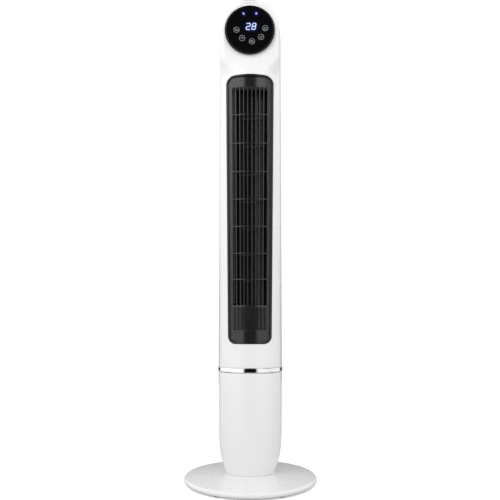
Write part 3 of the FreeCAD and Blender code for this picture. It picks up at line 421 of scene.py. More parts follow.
def bump_noise(tree, bsdf, coord, scale, strength, distance=0.0002, detail=2.0):
    noise = tree.nodes.new("ShaderNodeTexNoise")
    noise.inputs["Scale"].default_value = scale
    noise.inputs["Detail"].default_value = detail
    tree.links.new(coord.outputs["Object"], noise.inputs["Vector"])
    bump = tree.nodes.new("ShaderNodeBump")
    bump.inputs["Strength"].default_value = strength
    bump.inputs["Distance"].default_value = distance
    tree.links.new(noise.outputs["Fac"], bump.inputs["Height"])
    tree.links.new(bump.outputs["Normal"], bsdf.inputs["Normal"])
    return bump


def plastic(name, color, rough, spread=0.02, tint_scale=14.0, grain=900.0, grain_strength=0.05,
            ior=1.5, coat=0.0, coat_rough=0.05, metallic=0.0, vary=0.15):
    m, tree, bsdf = new_material(name)
    bsdf.inputs["IOR"].default_value = ior
    bsdf.inputs["Metallic"].default_value = metallic
    bsdf.inputs["Coat Weight"].default_value = coat
    bsdf.inputs["Coat Roughness"].default_value = coat_rough
    coord, _ = tint_noise(tree, bsdf, color, spread, tint_scale)
    rough_noise(tree, bsdf, coord, rough * (1 - vary), rough * (1 + vary), 40.0)
    bump_noise(tree, bsdf, coord, grain, grain_strength)
    return m


M_WHITE = plastic("white_abs", (0.815, 0.815, 0.812), 0.28, 0.004, 9.0, 700.0, 0.008, ior=1.46, coat=0.2, coat_rough=0.12,
                  vary=0.04)
M_UNDER = plastic("underside_abs", (0.70, 0.70, 0.69), 0.5, 0.02, 12.0, 1200.0, 0.2)
M_TRIM = plastic("trim_black_gloss", (0.006, 0.0062, 0.0064), 0.13, 0.1, 20.0, 900.0, 0.02, ior=1.5)
M_GRILLE = plastic("grille_charcoal", (0.0125, 0.013, 0.0128), 0.14, 0.06, 60.0, 1600.0, 0.025, ior=1.56)
M_COMB = plastic("comb_grey", (0.045, 0.046, 0.045), 0.4, 0.08, 60.0, 1500.0, 0.1, ior=1.5)
M_INNER = plastic("inner_black_abs", (0.006, 0.006, 0.0062), 0.5, 0.1, 30.0, 1200.0, 0.15)
M_DRUM = plastic("impeller_black", (0.010, 0.010, 0.0105), 0.42, 0.12, 40.0, 1400.0, 0.12)
M_ACETAL = plastic("acetal", (0.72, 0.70, 0.63), 0.4, 0.02, 16.0, 900.0, 0.06)
M_RUBBER = plastic("foot_rubber", (0.022, 0.022, 0.023), 0.75, 0.12, 80.0, 2600.0, 0.4)
M_PART = plastic("moulded_black", (0.03, 0.03, 0.032), 0.45, 0.1, 50.0, 1600.0, 0.15)
M_CAP = plastic("capacitor_case", (0.62, 0.62, 0.6), 0.4, 0.03, 30.0, 1200.0, 0.08)
M_GLOSS = plastic("piano_black", (0.003, 0.0032, 0.0036), 0.07, 0.1, 10.0, 600.0, 0.01, ior=1.5)
M_FIELD = plastic("grille_field_satin", (0.006, 0.0062, 0.0061), 0.42, 0.1, 60.0, 1600.0, 0.06, ior=1.3)
# grey for the crown strip: painted shade of a seam's shadow gap
M_CROWN_SHADE = plastic("crown_painted_shade", (0.36, 0.36, 0.355), 0.5, 0.04, 60.0, 1200.0, 0.03)


def metal(name, color, rough, brush=(60.0, 60.0, 900.0), strength=0.12):
    m, tree, bsdf = new_material(name)
    bsdf.inputs["Metallic"].default_value = 1.0
    coord, _ = tint_noise(tree, bsdf, color, 0.05, 25.0)
    rough_noise(tree, bsdf, coord, rough * 0.8, rough * 1.25, 60.0)
    mapping = tree.nodes.new("ShaderNodeMapping")
    mapping.inputs["Scale"].default_value = brush
    tree.links.new(coord.outputs["Object"], mapping.inputs["Vector"])
    noise = tree.nodes.new("ShaderNodeTexNoise")
    noise.inputs["Scale"].default_value = 6.0
    tree.links.new(mapping.outputs["Vector"], noise.inputs["Vector"])
    bump = tree.nodes.new("ShaderNodeBump")
    bump.inputs["Strength"].default_value = strength
    bump.inputs["Distance"].default_value = 0.0001
    tree.links.new(noise.outputs["Fac"], bump.inputs["Height"])
    tree.links.new(bump.outputs["Normal"], bsdf.inputs["Normal"])
    return m


M_CHROME = metal("chrome_plate", (0.88, 0.88, 0.89), 0.045, (20.0, 20.0, 20.0), 0.01)
M_STEEL = metal("turned_steel", (0.56, 0.56, 0.57), 0.3)
M_ZINC = metal("zinc_plate", (0.62, 0.62, 0.6), 0.28, (200.0, 200.0, 200.0), 0.06)
M_CASE = metal("motor_pressing", (0.45, 0.46, 0.47), 0.38, (80.0, 80.0, 80.0), 0.1)
M_CORE = metal("laminations", (0.2, 0.2, 0.21), 0.5, (8.0, 8.0, 2600.0), 0.5)
M_BRONZE = metal("sintered_bronze", (0.5, 0.34, 0.17), 0.45, (300.0, 300.0, 300.0), 0.3)
M_SPRING = metal("spring_wire", (0.6, 0.55, 0.4), 0.3)
M_PLATE = plastic("coated_weight", (0.05, 0.05, 0.052), 0.55, 0.15, 30.0, 1500.0, 0.25)


def board_material():
    m, tree, bsdf = new_material("board_green")
    coord = tree.nodes.new("ShaderNodeTexCoord")
    wave = tree.nodes.new("ShaderNodeTexBrick")
    wave.inputs["Scale"].default_value = 90.0
    wave.inputs["Color1"].default_value = (0.012, 0.09, 0.03, 1)
    wave.inputs["Color2"].default_value = (0.010, 0.075, 0.026, 1)
    wave.inputs["Mortar"].default_value = (0.03, 0.16, 0.06, 1)
    tree.links.new(coord.outputs["Object"], wave.inputs["Vector"])
    tree.links.new(wave.outputs["Color"], bsdf.inputs["Base Color"])
    bsdf.inputs["Roughness"].default_value = 0.35
    return m


M_BOARD = board_material()


def glow(name, color, strength, mix=0.0):
    m, tree, bsdf = new_material(name)
    bsdf.inputs["Base Color"].default_value = (0.02, 0.02, 0.03, 1)
    bsdf.inputs["Roughness"].default_value = 0.3
    coord = tree.nodes.new("ShaderNodeTexCoord")
    noise = tree.nodes.new("ShaderNodeTexNoise")
    noise.inputs["Scale"].default_value = 220.0
    tree.links.new(coord.outputs["Object"], noise.inputs["Vector"])
    ramp = tree.nodes.new("ShaderNodeValToRGB")
    ramp.color_ramp.elements[0].color = tuple(c * 0.86 for c in color) + (1,)
    ramp.color_ramp.elements[1].color = tuple(color) + (1,)
    ramp.color_ramp.elements[0].position = 0.35
    ramp.color_ramp.elements[1].position = 0.6
    tree.links.new(noise.outputs["Fac"], ramp.inputs["Fac"])
    tree.links.new(ramp.outputs["Color"], bsdf.inputs["Emission Color"])
    bsdf.inputs["Emission Strength"].default_value = strength
    return m


M_DIGIT = glow("digit_glow", (0.60, 0.72, 1.0), 1.15)
M_LED = glow("led_glow", (0.52, 0.52, 0.95), 0.9)
M_ICON = plastic("icon_print", (0.36, 0.365, 0.36), 0.5, 0.06, 60.0, 1200.0, 0.03)


def lens_material():
    """Piano black with a painted faint blue glow round the lit figures."""
    m, tree, bsdf = new_material("panel_gloss")
    bsdf.inputs["IOR"].default_value = 1.5
    bsdf.inputs["Coat Weight"].default_value = 0.3
    bsdf.inputs["Coat Roughness"].default_value = 0.03
    coord, _ = tint_noise(tree, bsdf, (0.0026, 0.0029, 0.0036), 0.15, 30.0)
    rough_noise(tree, bsdf, coord, 0.05, 0.085, 50.0)
    bump_noise(tree, bsdf, coord, 300.0, 0.006)
    # painted glow: emission spots on the lens round the digits and lights, standing in for their light spreading
    total = None
    for x, z, sx, sz, gain in ((3.5, 6.8, 21.0, 16.0, 1.0), (-14.2, 37.4, 8.0, 8.0, 0.8), (15.0, 37.6, 8.5, 8.5, 1.0)):
        mapping = tree.nodes.new("ShaderNodeMapping")
        mapping.inputs["Location"].default_value = (-x / sx, 0.0, -(PANEL_Z + z) / sz)
        mapping.inputs["Scale"].default_value = (1000.0 / sx, 0.0, 1000.0 / sz)
        tree.links.new(coord.outputs["Object"], mapping.inputs["Vector"])
        grad = tree.nodes.new("ShaderNodeTexGradient")
        grad.gradient_type = "SPHERICAL"
        tree.links.new(mapping.outputs["Vector"], grad.inputs["Vector"])
        power = tree.nodes.new("ShaderNodeMath")
        power.operation = "POWER"
        power.inputs[1].default_value = 1.6
        tree.links.new(grad.outputs["Fac"], power.inputs[0])
        scaled = tree.nodes.new("ShaderNodeMath")
        scaled.operation = "MULTIPLY"
        scaled.inputs[1].default_value = gain
        tree.links.new(power.outputs["Value"], scaled.inputs[0])
        if total is None:
            total = scaled
        else:
            add = tree.nodes.new("ShaderNodeMath")
            add.operation = "ADD"
            tree.links.new(total.outputs["Value"], add.inputs[0])
            tree.links.new(scaled.outputs["Value"], add.inputs[1])
            total = add
    ramp = tree.nodes.new("ShaderNodeValToRGB")
    ramp.color_ramp.elements[0].color = (0, 0, 0, 1)
    ramp.color_ramp.elements[1].color = (0.012, 0.012, 0.24, 1)
    tree.links.new(total.outputs["Value"], ramp.inputs["Fac"])
    tree.links.new(ramp.outputs["Color"], bsdf.inputs["Emission Color"])
    bsdf.inputs["Emission Strength"].default_value = 1.0
    return m


M_LENS = lens_material()

# CAD nodes that stay: a finish for each
BY_NODE = {
    "base_cover": M_UNDER, "base_weight": M_PLATE, "rubber_feet": M_RUBBER, "base_screws": M_ZINC,
    "cover_screws": M_ZINC, "cable_grommet": M_RUBBER, "pivot_bracket": M_INNER, "bracket_screws": M_ZINC,
    "pivot_tube": M_STEEL, "slide_ring": M_ACETAL, "retaining_clip": M_ZINC, "oscillation_gear": M_ACETAL,
    "oscillation_pinion": M_ACETAL, "column_chassis": M_INNER, "oscillation_motor": M_CASE,
    "housing_screws": M_ZINC, "louvre_comb": M_COMB, "air_guide": M_INNER, "air_tongue": M_INNER,
    "duct_bottom_plate": M_INNER, "duct_top_plate": M_INNER, "bearing_holder": M_RUBBER,
    "upper_bearing": M_BRONZE, "motor_stator": M_CORE, "motor_lower_cap": M_CASE, "motor_upper_cap": M_CASE,
    "motor_bracket": M_INNER, "motor_dampers": M_RUBBER, "motor_screws": M_ZINC, "main_board": M_BOARD,
    "board_components": M_PART, "run_capacitor": M_CAP, "terminal_block": M_CAP, "wiring_loom": M_RUBBER,
    "control_board": M_BOARD, "display_module": M_PART, "touch_springs": M_SPRING, "indicator_leds": M_CAP,
    "impeller_drum": M_DRUM, "impeller_shaft": M_STEEL, "motor_rotor": M_STEEL, "shaft_coupling": M_STEEL,
    "coupling_screw": M_ZINC, "front_housing": M_WHITE, "rear_housing": M_WHITE, "pedestal_shell": M_WHITE,
    "base_disc": M_WHITE, "chrome_ring": M_CHROME, "grille_trim": M_TRIM, "front_grille": M_GRILLE,
    "panel_bezel": M_GLOSS, "panel_lens": M_LENS, "handle_cup": M_TRIM,
}
for name, obj in nodes.items():
    obj.data.materials.clear()
    obj.data.materials.append(BY_NODE[name])


# ----------------------------------------------------------- column shells
def arch_half(z):
    if z <= ARCH_Z:
        return HALF_W
    t = min(1.0, (z - ARCH_Z) / ARCH_RISE)
    return HALF_W * max(0.0, 1 - t ** ARCH_N) ** (1 / ARCH_N)


def arch_depth(x, z):
    """Distance in from the head's outline, near the edge."""
    if z <= ARCH_Z:
        return HALF_W - abs(x)
    u, w = abs(x) / HALF_W, (z - ARCH_Z) / ARCH_RISE
    rho = (u ** ARCH_N + w ** ARCH_N) ** (1 / ARCH_N)
    if rho < 1e-6:
        return 60.0
    gu = u ** (ARCH_N - 1) * rho ** (1 - ARCH_N) / HALF_W
    gw = w ** (ARCH_N - 1) * rho ** (1 - ARCH_N) / ARCH_RISE
    return max(0.0, (1 - rho) / math.hypot(gu, gw))


def head_y(x, z):
    """Front surface of the head: bowed sides, a rounded edge, a flat face."""
    dd = arch_depth(x, z)
    edge = HEAD_F - HEAD_R
    if dd < HEAD_BOW:
        return -edge * math.sqrt(dd / HEAD_BOW)
    if dd >= HEAD_BOW + HEAD_R:
        return -HEAD_F
    return -edge - math.sqrt(max(0.0, HEAD_R ** 2 - (HEAD_R + HEAD_BOW - dd) ** 2))


N_SIDE, N_CORNER, N_FRONT = 10, 34, 22


def front_row(z, o=0.0):
    """Half row (x > 0) from the split to the centre line."""
    w = smooth((z - BEND_0) / (BEND_1 - BEND_0))
    a = arch_half(z)
    pts = []
    phi_e = math.asin(SPLIT_F / FACE_R)
    edge = [0.0, 0.004, 0.02] + [0.02 + 0.98 * k / (N_SIDE - 3) for k in range(1, N_SIDE - 2)]
    # where, on this row, the bowed side ends and the face begins
    slope = max(0.18, (a / HALF_W)) if z > ARCH_Z else 1.0
    bow = min(HEAD_BOW / slope, a * 0.25)
    fillet = min(HEAD_R / slope, a * 0.45)
    y_mid = -(HEAD_F - HEAD_R) * 0.55
    for t in edge[:-1]:
        sx, sy = arc_point(C_SIDE, FACE_R, phi_e + (PHI_1 - phi_e) * t, o)
        if t < 0.12:
            hx, hy = a, SPLIT_F * (1 - t / 0.12)
        else:
            hy = y_mid * (t - 0.12) / 0.88
            hx = a - bow * (hy / (HEAD_F - HEAD_R)) ** 2
        pts.append((sx, sy, hx, hy))
    for k in range(N_CORNER):
        t = k / N_CORNER
        sx, sy = arc_point((CX, CY), CORNER_R, PHI_1 + (PHI_2 - PHI_1) * t, o)
        if t < 0.3:
            hy = y_mid + (-(HEAD_F - HEAD_R) - y_mid) * t / 0.3
            hx = a - bow * (hy / (HEAD_F - HEAD_R)) ** 2
        else:
            q = (t - 0.3) / 0.7
            hx = a - bow - fillet * (1 - math.cos(math.pi / 2 * q))
            hy = head_y(hx, z)
        pts.append((sx, sy, hx, hy))
    for k in range(N_FRONT + 1):
        t = k / N_FRONT
        sx, sy = arc_point(C_FRONT, FACE_R, PHI_2 + (-math.pi / 2 - PHI_2) * t, o)
        hx = (a - bow - fillet) * (1 - t)
        pts.append((sx, sy, hx, head_y(hx, z)))
    out = []
    for sx, sy, hx, hy in pts:
        out.append(((1 - w) * sx + w * (hx - (o if hx > 1 else 0)), (1 - w) * sy + w * hy))
    return out


def spread(z0, z1, step):
    count = max(1, int(round((z1 - z0) / step)))
    return [z0 + (z1 - z0) * k / count for k in range(count)]


def front_levels():
    levels = [(SHELL_Z0, 0.7), (SHELL_Z0 + 0.25, 0.25), (SHELL_Z0 + 0.8, 0.0)]
    zs = spread(SHELL_Z0 + 3.0, 300.0, 6.0) + spread(300.0, 330.0, 1.7) + spread(330.0, 892.0, 6.5)
    zs += spread(892.0, ARCH_Z, 1.8)
    steps = 64
    zs += [ARCH_Z + ARCH_RISE * math.sin(math.pi / 2 * k / steps) for k in range(steps + 1)]
    return levels + [(z, 0.0) for z in zs]


bm = bmesh.new()
rows = []
for z, o in front_levels():
    half = front_row(z, o)
    right = [Vector((x, y, z)) for x, y in half]
    left = [Vector((-x, y, z)) for x, y in reversed(half[:-1])]
    row = right + left
    # the first and last column turn in a little, as a moulded parting edge
    row[0] = row[0] - Vector((min(0.35, max(0.0, row[0].x)), 0, 0))
    row[-1] = row[-1] + Vector((min(0.35, max(0.0, -row[-1].x)), 0, 0))
    rows.append(row)
grid(bm, rows)
win = arched(taper_outline(WIN_LOW + 0.2, WIN_HIGH + 0.2, WIN_Z0 - 0.2, WIN_Z1 + 0.2, 17.2, 18.2, 14, 3.0), 1.9)
open_hole(bm, win, lambda x, z: on_face(x, z, 0.0))
circle = [(51.2 * math.cos(2 * math.pi * k / 120), PANEL_Z + 51.2 * math.sin(2 * math.pi * k / 120)) for k in range(120)]
open_hole(bm, circle, lambda x, z: Vector((x, -HEAD_F, z)))
front_skin = shell_from_sheet("front_housing_skin", bm, SHELL_T, M_WHITE)


def rear_depth(z):
    """Depth of the back at that height; the top corner is rounded."""
    low = ARCH_Z + ARCH_RISE - 43.0
    if z < low:
        return HALF_D
    return min(HALF_D, 24.0 + math.sqrt(max(0.0, 45.0 ** 2 - (z - low) ** 2)))


X_BREAKS = [46.0, 45.0, 16.5, 14.5]


def rear_row(z, o=0.0):
    a = arch_half(z) / HALF_W
    dep = rear_depth(z)
    phi_e = math.asin(SPLIT_B / FACE_R)
    phis = []
    side = [0.0, 0.01, 0.06] + [0.06 + 0.94 * k / 4 for k in range(1, 5)]
    for t in side[:-1]:
        phis.append((C_SIDE, FACE_R, phi_e + (-PHI_1 - phi_e) * t))
    corner = [-PHI_1 + (-PHI_2 + PHI_1) * k / 30 for k in range(30)]
    for xb in (46.0, 45.0):
        target = math.acos((xb - CX) / CORNER_R)
        j = min(range(len(corner)), key=lambda i: abs(corner[i] - target))
        corner[j] = target
    for p in corner:
        phis.append(((CX, CY), CORNER_R, p))
    back = [-PHI_2 + (math.pi / 2 + PHI_2) * k / 16 for k in range(17)]
    for xb in (16.5, 14.5):
        target = math.acos(xb / FACE_R)
        j = min(range(1, len(back) - 1), key=lambda i: abs(back[i] - target))
        back[j] = target
    for p in back:
        phis.append((C_FRONT, FACE_R, p))
    out = []
    for centre, radius, phi in phis:
        c = (centre[0], -centre[1])
        x = c[0] + (radius - o) * math.cos(phi)
        y = c[1] + (radius - o) * math.sin(phi)
        y = SPLIT_B + (y - SPLIT_B) * (dep - SPLIT_B) / (HALF_D - SPLIT_B)
        out.append((x * a, y))
    return out


def back_y(x):
    return -face_y(x)[0]


SLOT_ROWS = []
z = 400.0
while z < 884.0:
    SLOT_ROWS.append((z, z + 4.0))
    z += 8.0
levels = [(SHELL_Z0, 0.7), (SHELL_Z0 + 0.25, 0.25), (SHELL_Z0 + 0.8, 0.0)]
zs = spread(SHELL_Z0 + 3.0, 292.0, 6.0) + spread(292.0, 308.0, 1.0) + spread(308.0, 396.0, 6.0) + [396.0]
for a, b in SLOT_ROWS:
    zs += [a, b]
zs += [888.0] + spread(892.0, 917.0, 5.0) + spread(917.0, 933.0, 1.0) + spread(933.0, 955.0, 4.0)
zs += spread(955.0, 1003.0, 1.6) + spread(1003.0, ARCH_Z, 4.0)
zs += [ARCH_Z + ARCH_RISE * math.sin(math.pi / 2 * k / 48) for k in range(49)]
levels += [(z, 0.0) for z in zs]
bm = bmesh.new()
rows = []
for z, o in levels:
    half = rear_row(z, o)
    right = [Vector((x, y, z)) for x, y in half]
    left = [Vector((-x, y, z)) for x, y in reversed(half[:-1])]
    row = right + left
    row[0] = row[0] - Vector((min(0.35, max(0.0, row[0].x)), 0, 0))
    row[-1] = row[-1] + Vector((min(0.35, max(0.0, -row[-1].x)), 0, 0))
    rows.append(row)
grid(bm, rows)
doomed = []
for f in bm.faces:
    c = f.calc_center_median()
    if c.y > 40 and abs(c.x) < 46 and not 14.5 < abs(c.x) < 16.5:
        if 400.0 < c.z < 884.0 and (c.z - 400.0) % 8.0 < 4.0:
            doomed.append(f)
bmesh.ops.delete(bm, geom=doomed, context="FACES")


def round_rect(hx, z0, z1, r, steps=8):
    pts = []
    for cx, cz, a0 in ((hx - r, z1 - r, 0), (-hx + r, z1 - r, 90), (-hx + r, z0 + r, 180), (hx - r, z0 + r, 270)):
        for k in range(steps + 1):
            a = math.radians(a0 + 90 * k / steps)
            pts.append((cx + r * math.cos(a), cz + r * math.sin(a)))
    return pts


grip = round_rect(45.0, 962.0, 996.0, 7.0)
open_hole(bm, grip, lambda x, z: Vector((x, back_y(x), z)))
SCREWS = [(sx * 63.0, z) for sx in (1, -1) for z in (300.0, 610.0, 925.0)]
rear_skin = shell_from_sheet("rear_housing_skin", bm, SHELL_T, M_WHITE)

# wells that lead to the housing screws
bm = bmesh.new()
def well_point(x, z, px, py, hh):
    """The mouth of a well follows the curved back."""
    return Vector((x + px, hh if hh < 26.5 else back_y(x + px) + hh - back_y(x), z + py))


for x, z in SCREWS:
    y1 = back_y(x)
    prof = rounded([(1.9, 24.0), (4.4, 24.0), (4.4, y1 + 0.35), (3.4, y1 + 0.5), (3.4, 25.9), (1.9, 25.9)], 0.25, 2)
    lathe(bm, prof, 28, lambda px, py, hh, x=x, z=z: well_point(x, z, px, py, hh))
wells = finish_mesh("screw_wells", bm, M_WHITE)

# finger recess: a smooth cup let into the back
bm = bmesh.new()
loops = []
outline = round_rect(44.6, 962.4, 995.6, 6.6, 7)


def grip_loop(shrink, y_of):
    ring = []
    cx, cz = 0.0, 979.0
    for x, z in outline:
        dx, dz = x - cx, z - cz
        kx = max(0.0, 1 - shrink / 44.6)
        kz = max(0.0, 1 - shrink / 16.6)
        ring.append(Vector((cx + dx * kx, y_of(cx + dx * kx), cz + dz * kz)))
    return ring


loops.append(grip_loop(-1.6, lambda x: back_y(x) + 0.05))
loops.append(grip_loop(-1.2, lambda x: back_y(x) + 0.75))
loops.append(grip_loop(0.4, lambda x: back_y(x) + 0.8))
loops.append(grip_loop(1.3, lambda x: back_y(x) + 0.1))
loops.append(grip_loop(1.9, lambda x: back_y(x) - 2.0))
loops.append(grip_loop(2.2, lambda x: 50.0 if back_y(x) > 53 else back_y(x) - 4.0))
loops.append(grip_loop(2.4, lambda x: 45.0))
loops.append(grip_loop(3.0, lambda x: 43.0))
loops.append(grip_loop(5.0, lambda x: 42.2))
loops.append(grip_loop(10.0, lambda x: 42.0))
loops.append(grip_loop(16.5, lambda x: 42.0))
grid(bm, loops, closed=True)
last = [v for v in bm.verts][-len(outline):]
bm.faces.new(last)
inner_loops = [grip_loop(-0.9, lambda x: back_y(x) + 0.0), grip_loop(0.0, lambda x: back_y(x) - 2.6),
               grip_loop(0.2, lambda x: 46.0), grip_loop(1.2, lambda x: 40.6), grip_loop(16.0, lambda x: 40.2)]
rows_in = grid(bm, inner_loops, closed=True)
bm.faces.new(rows_in[-1])
bm.verts.ensure_lookup_table()
first = [v for v in bm.verts][:len(outline)]
for i in range(len(outline)):
    j = (i + 1) % len(outline)
    bm.faces.new([first[i], first[j], rows_in[0][j], rows_in[0][i]])
cup = finish_mesh("handle_cup_skin", bm, M_TRIM)


# fine grey strip along the crown of the head: it marks a seam line, and its grey is painted shade standing in for the
# shadow in the gap
def crown(t, inset):
    c, q = math.cos(t), math.sin(t)
    x = HALF_W * math.copysign(abs(c) ** (2 / ARCH_N), c)
    z = ARCH_Z + ARCH_RISE * q ** (2 / ARCH_N)
    gx = math.copysign((abs(x) / HALF_W) ** (ARCH_N - 1), x) / HALF_W
    gz = ((z - ARCH_Z) / ARCH_RISE) ** (ARCH_N - 1) / ARCH_RISE
    ln = math.hypot(gx, gz)
    return x - gx / ln * inset, z - gz / ln * inset


bm = bmesh.new()
loops = []
for k in range(49):
    t = math.radians(76 + 28 * k / 48)
    wide = 0.12 + 0.42 * math.sin(math.pi * k / 48) ** 0.6
    loop = []
    for dd, hh in ((-1, -0.5), (-1, 0.1), (1, 0.1), (1, -0.5)):
        x, z = crown(t, 12.1 + dd * wide)
        loop.append(Vector((x, head_y(x, z) - hh, z)))
    loops.append(loop)
tube_sweep(bm, loops)
crown_shade_strip = finish_mesh("head_crown_painted_shade", bm, M_CROWN_SHADE, 60.0, 0.0005)

# -------------------------------------------------------------- pedestal
def section_loop(z, scale, o=0.0, n_side=7, n_corner=16, n_front=12):
    pts = []
    quarter = []
    for k in range(n_side):
        quarter.append(arc_point(C_SIDE, FACE_R, PHI_1 * k / n_side, o, scale))
    for k in range(n_corner):
        quarter.append(arc_point((CX, CY), CORNER_R, PHI_1 + (PHI_2 - PHI_1) * k / n_corner, o, scale))
    for k in range(n_front + 1):
        quarter.append(arc_point(C_FRONT, FACE_R, PHI_2 + (-math.pi / 2 - PHI_2) * k / n_front, o, scale))
    pts += quarter
    pts += [(-x, y) for x, y in reversed(quarter[:-1])]
    full = pts + [(x, -y) for x, y in reversed(pts[1:-1])]
    return [Vector((x, y, z)) for x, y in full]


def pedestal_radius(z):
    pts = PEDESTAL
    if z <= pts[0][0]:
        return pts[0][1]
    for i in range(len(pts) - 1):
        if z <= pts[i + 1][0]:
            z0, r0 = pts[i]
            z1, r1 = pts[i + 1]
            m0 = (r1 - r0) / (z1 - z0) if i == 0 else (r1 - pts[i - 1][1]) / (z1 - pts[i - 1][0])
            m1 = (r1 - r0) / (z1 - z0) if i + 2 >= len(pts) else (pts[i + 2][1] - r0) / (pts[i + 2][0] - z0)
            t = (z - z0) / (z1 - z0)
            dz = z1 - z0
            return (r0 * (2 * t ** 3 - 3 * t ** 2 + 1) + m0 * dz * (t ** 3 - 2 * t ** 2 + t)
                    + r1 * (-2 * t ** 3 + 3 * t ** 2) + m1 * dz * (t ** 3 - t ** 2))
    return pts[-1][1]


bm = bmesh.new()
loops = []
for z, o in ([(24.5, 1.0), (24.75, 0.35), (25.4, 0.0)] + [(26.5 + 3.4 * k, 0.0) for k in range(30)]
             + [(130.0 + 9.0 * k, 0.0) for k in range(12)] + [(238.0, 0.0), (243.6, 0.0), (244.6, 0.15), (245.2, 0.5), (245.4, 1.1)]):
    loops.append(section_loop(z, pedestal_radius(z) / HALF_W, o))
for z, o in ((245.4, 2.6), (245.0, 3.0), (236.0, 3.0)):
    loops.append(section_loop(z, 1.0, o))
for z in (200.0, 160.0, 130.0, 110.0, 92.0, 74.0, 57.0, 38.0, 28.0):
    loops.append(section_loop(z, (pedestal_radius(z) - 3.0) / HALF_W, 0.0))
loops.append(section_loop(28.0, 20.0 / HALF_W))
loops.append(section_loop(24.5, 20.0 / HALF_W))
rows = [[bm.verts.new(p) for p in loop] for loop in loops]
for k in range(len(rows)):
    a, b = rows[k], rows[(k + 1) % len(rows)]
    for i in range(len(a)):
        j = (i + 1) % len(a)
        bm.faces.new([a[i], a[j], b[j], b[i]])
pedestal = finish_mesh("pedestal_skin", bm, M_WHITE)

# ------------------------------------------------------------- base disc


def arc2(cx, cz, r, a0, a1, steps):
    return [(cx + r * math.cos(math.radians(a0 + (a1 - a0) * k / steps)),
             cz + r * math.sin(math.radians(a0 + (a1 - a0) * k / steps))) for k in range(steps + 1)]


prof = [(134.4, 3.0), (134.9, 1.5)]
prof += [(135.4 + 12.0 * math.cos(math.radians(a)), 8.4 + 7.0 * math.sin(math.radians(a))) for a in range(-88, 0, 6)]
prof += arc2(142.0, 9.7, 5.45, 4, 80, 14)
x0, z0, x1, z1 = 142.3, 15.2, 57.0, 24.3
for k in range(1, 27):
    t = k / 26
    prof.append((x0 + (x1 - x0) * t, z0 + (z1 - z0) * (1 - (1 - t) ** 1.55)))
prof += [(54.6, 24.5), (52.0, 24.5), (30.0, 24.5), (20.0, 24.5), (20.0, 21.5), (56.0, 21.5), (100.0, 17.4),
         (131.0, 12.3), (134.4, 9.0)]
bm = bmesh.new()
lathe(bm, prof, 200, lambda x, y, h: Vector((x, y, h)))
disc = finish_mesh("base_disc_skin", bm, M_WHITE, 30.0)

# ------------------------------------------------------------ chrome ring
bm = bmesh.new()
prof = rounded([(3.2, 246.0), (-0.45, 246.0), (-0.62, 251.0), (-0.45, 256.0), (3.2, 256.0)],
               [0.2, 1.1, 4.0, 1.1, 0.2], 6)
loops = [section_loop(z, 1.0, o, 9, 22, 16) for o, z in prof]
rows = [[bm.verts.new(p) for p in loop] for loop in loops]
for k in range(len(rows)):
    a, b = rows[k], rows[(k + 1) % len(rows)]
    for i in range(len(a)):
        j = (i + 1) % len(a)
        bm.faces.new([a[i], a[j], b[j], b[i]])
ring = finish_mesh("chrome_ring_skin", bm, M_CHROME, 50.0)

# ------------------------------------------------------------ grille trim
win_edge = arched(taper_outline(WIN_LOW - 0.1, WIN_HIGH - 0.1, WIN_Z0 + 0.1, WIN_Z1 - 0.1, 16.9, 17.9, 16, 7.0), 1.9)
bm = bmesh.new()
prof = rounded([(0.0, -2.4), (0.0, 0.5), (1.9, 1.15), (4.1, 0.7), (4.7, -1.7), (7.2, -2.1), (7.2, -4.6),
                (5.2, -4.8), (5.0, -2.9)], [0.1, 1.0, 1.6, 0.9, 0.5, 0.3, 0.3, 0.3, 0.3], 4)
loops = []
for x, z, nx, nz in win_edge:
    loops.append([on_face(x - nx * dd, z - nz * dd, hh) for dd, hh in prof])
ring_sweep(bm, loops)
trim = finish_mesh("grille_trim_skin", bm, M_TRIM, 45.0)

# ------------------------------------------------------------ front grille
STRIP, GAP = 7.2, 0.5
g_out = taper_outline(WIN_LOW - STRIP - GAP, WIN_HIGH - STRIP - GAP, WIN_Z0 + 4.0 + GAP, WIN_Z1 - 5.5 - GAP,
                      10.5, 11.5, 10, 2.5)


def slot_half(z):
    return SLOT_LOW + (SLOT_HIGH - SLOT_LOW) * (z - SLOT_Z0) / (SLOT_Z1 - SLOT_Z0)


FLUTE = [k * 8.2 for k in range(-4, 5)]


def flute_depth(x, z):
    if not BLANK_Z0 - 0.4 < z < SLOT_Z0 - 3.6:
        return 0.0
    edge = min(1.0, max(0.0, (z - BLANK_Z0 + 0.4) / 0.8), max(0.0, (SLOT_Z0 - 3.6 - z) / 0.8))
    for i, c in enumerate(FLUTE):
        half = 1.5 if i < 2 else 2.1
        depth = 2.4 if i < 2 else 0.55
        dd = abs(x - c)
        if dd < half + 0.5:
            return depth * edge * (1.0 if dd <= half else max(0.0, 1 - (dd - half) / 0.5))
    return 0.0


xs = set()
for i, c in enumerate(FLUTE):
    half = 1.5 if i < 2 else 2.1
    for dd in (-half - 0.5, -half, 0.0, half, half + 0.5):
        xs.add(round(c + dd, 3))
for k in range(-70, 71):
    x = k * 0.7
    if all(abs(x - q) > 0.3 for q in xs):
        xs.add(round(x, 3))
xs = sorted(x for x in xs if abs(x) <= 48.5)
zs = spread(312.0, BLANK_Z0 - 0.8, 1.6) + [BLANK_Z0 - 0.4, BLANK_Z0, BLANK_Z0 + 0.4]
zs += spread(BLANK_Z0 + 3.0, SLOT_Z0 - 5.0, 5.0) + [SLOT_Z0 - 4.4, SLOT_Z0 - 4.0, SLOT_Z0 - 3.6, SLOT_Z0 - 2.0, SLOT_Z0 - 0.8, SLOT_Z0]
zs += spread(SLOT_Z0 + 1.0, SLOT_Z1 - 6.0, 4.0) + spread(SLOT_Z1 - 6.0, SLOT_Z1 + 2.0, 0.6) + spread(SLOT_Z1 + 2.0, 911.0, 1.3)
bm = bmesh.new()
rows = [[on_face(x, z, -0.4 - flute_depth(x, z)) for x in xs] for z in zs]
grid(bm, rows)
open_hole(bm, g_out, lambda x, z: on_face(x, z, -0.75), keep_inside=True)


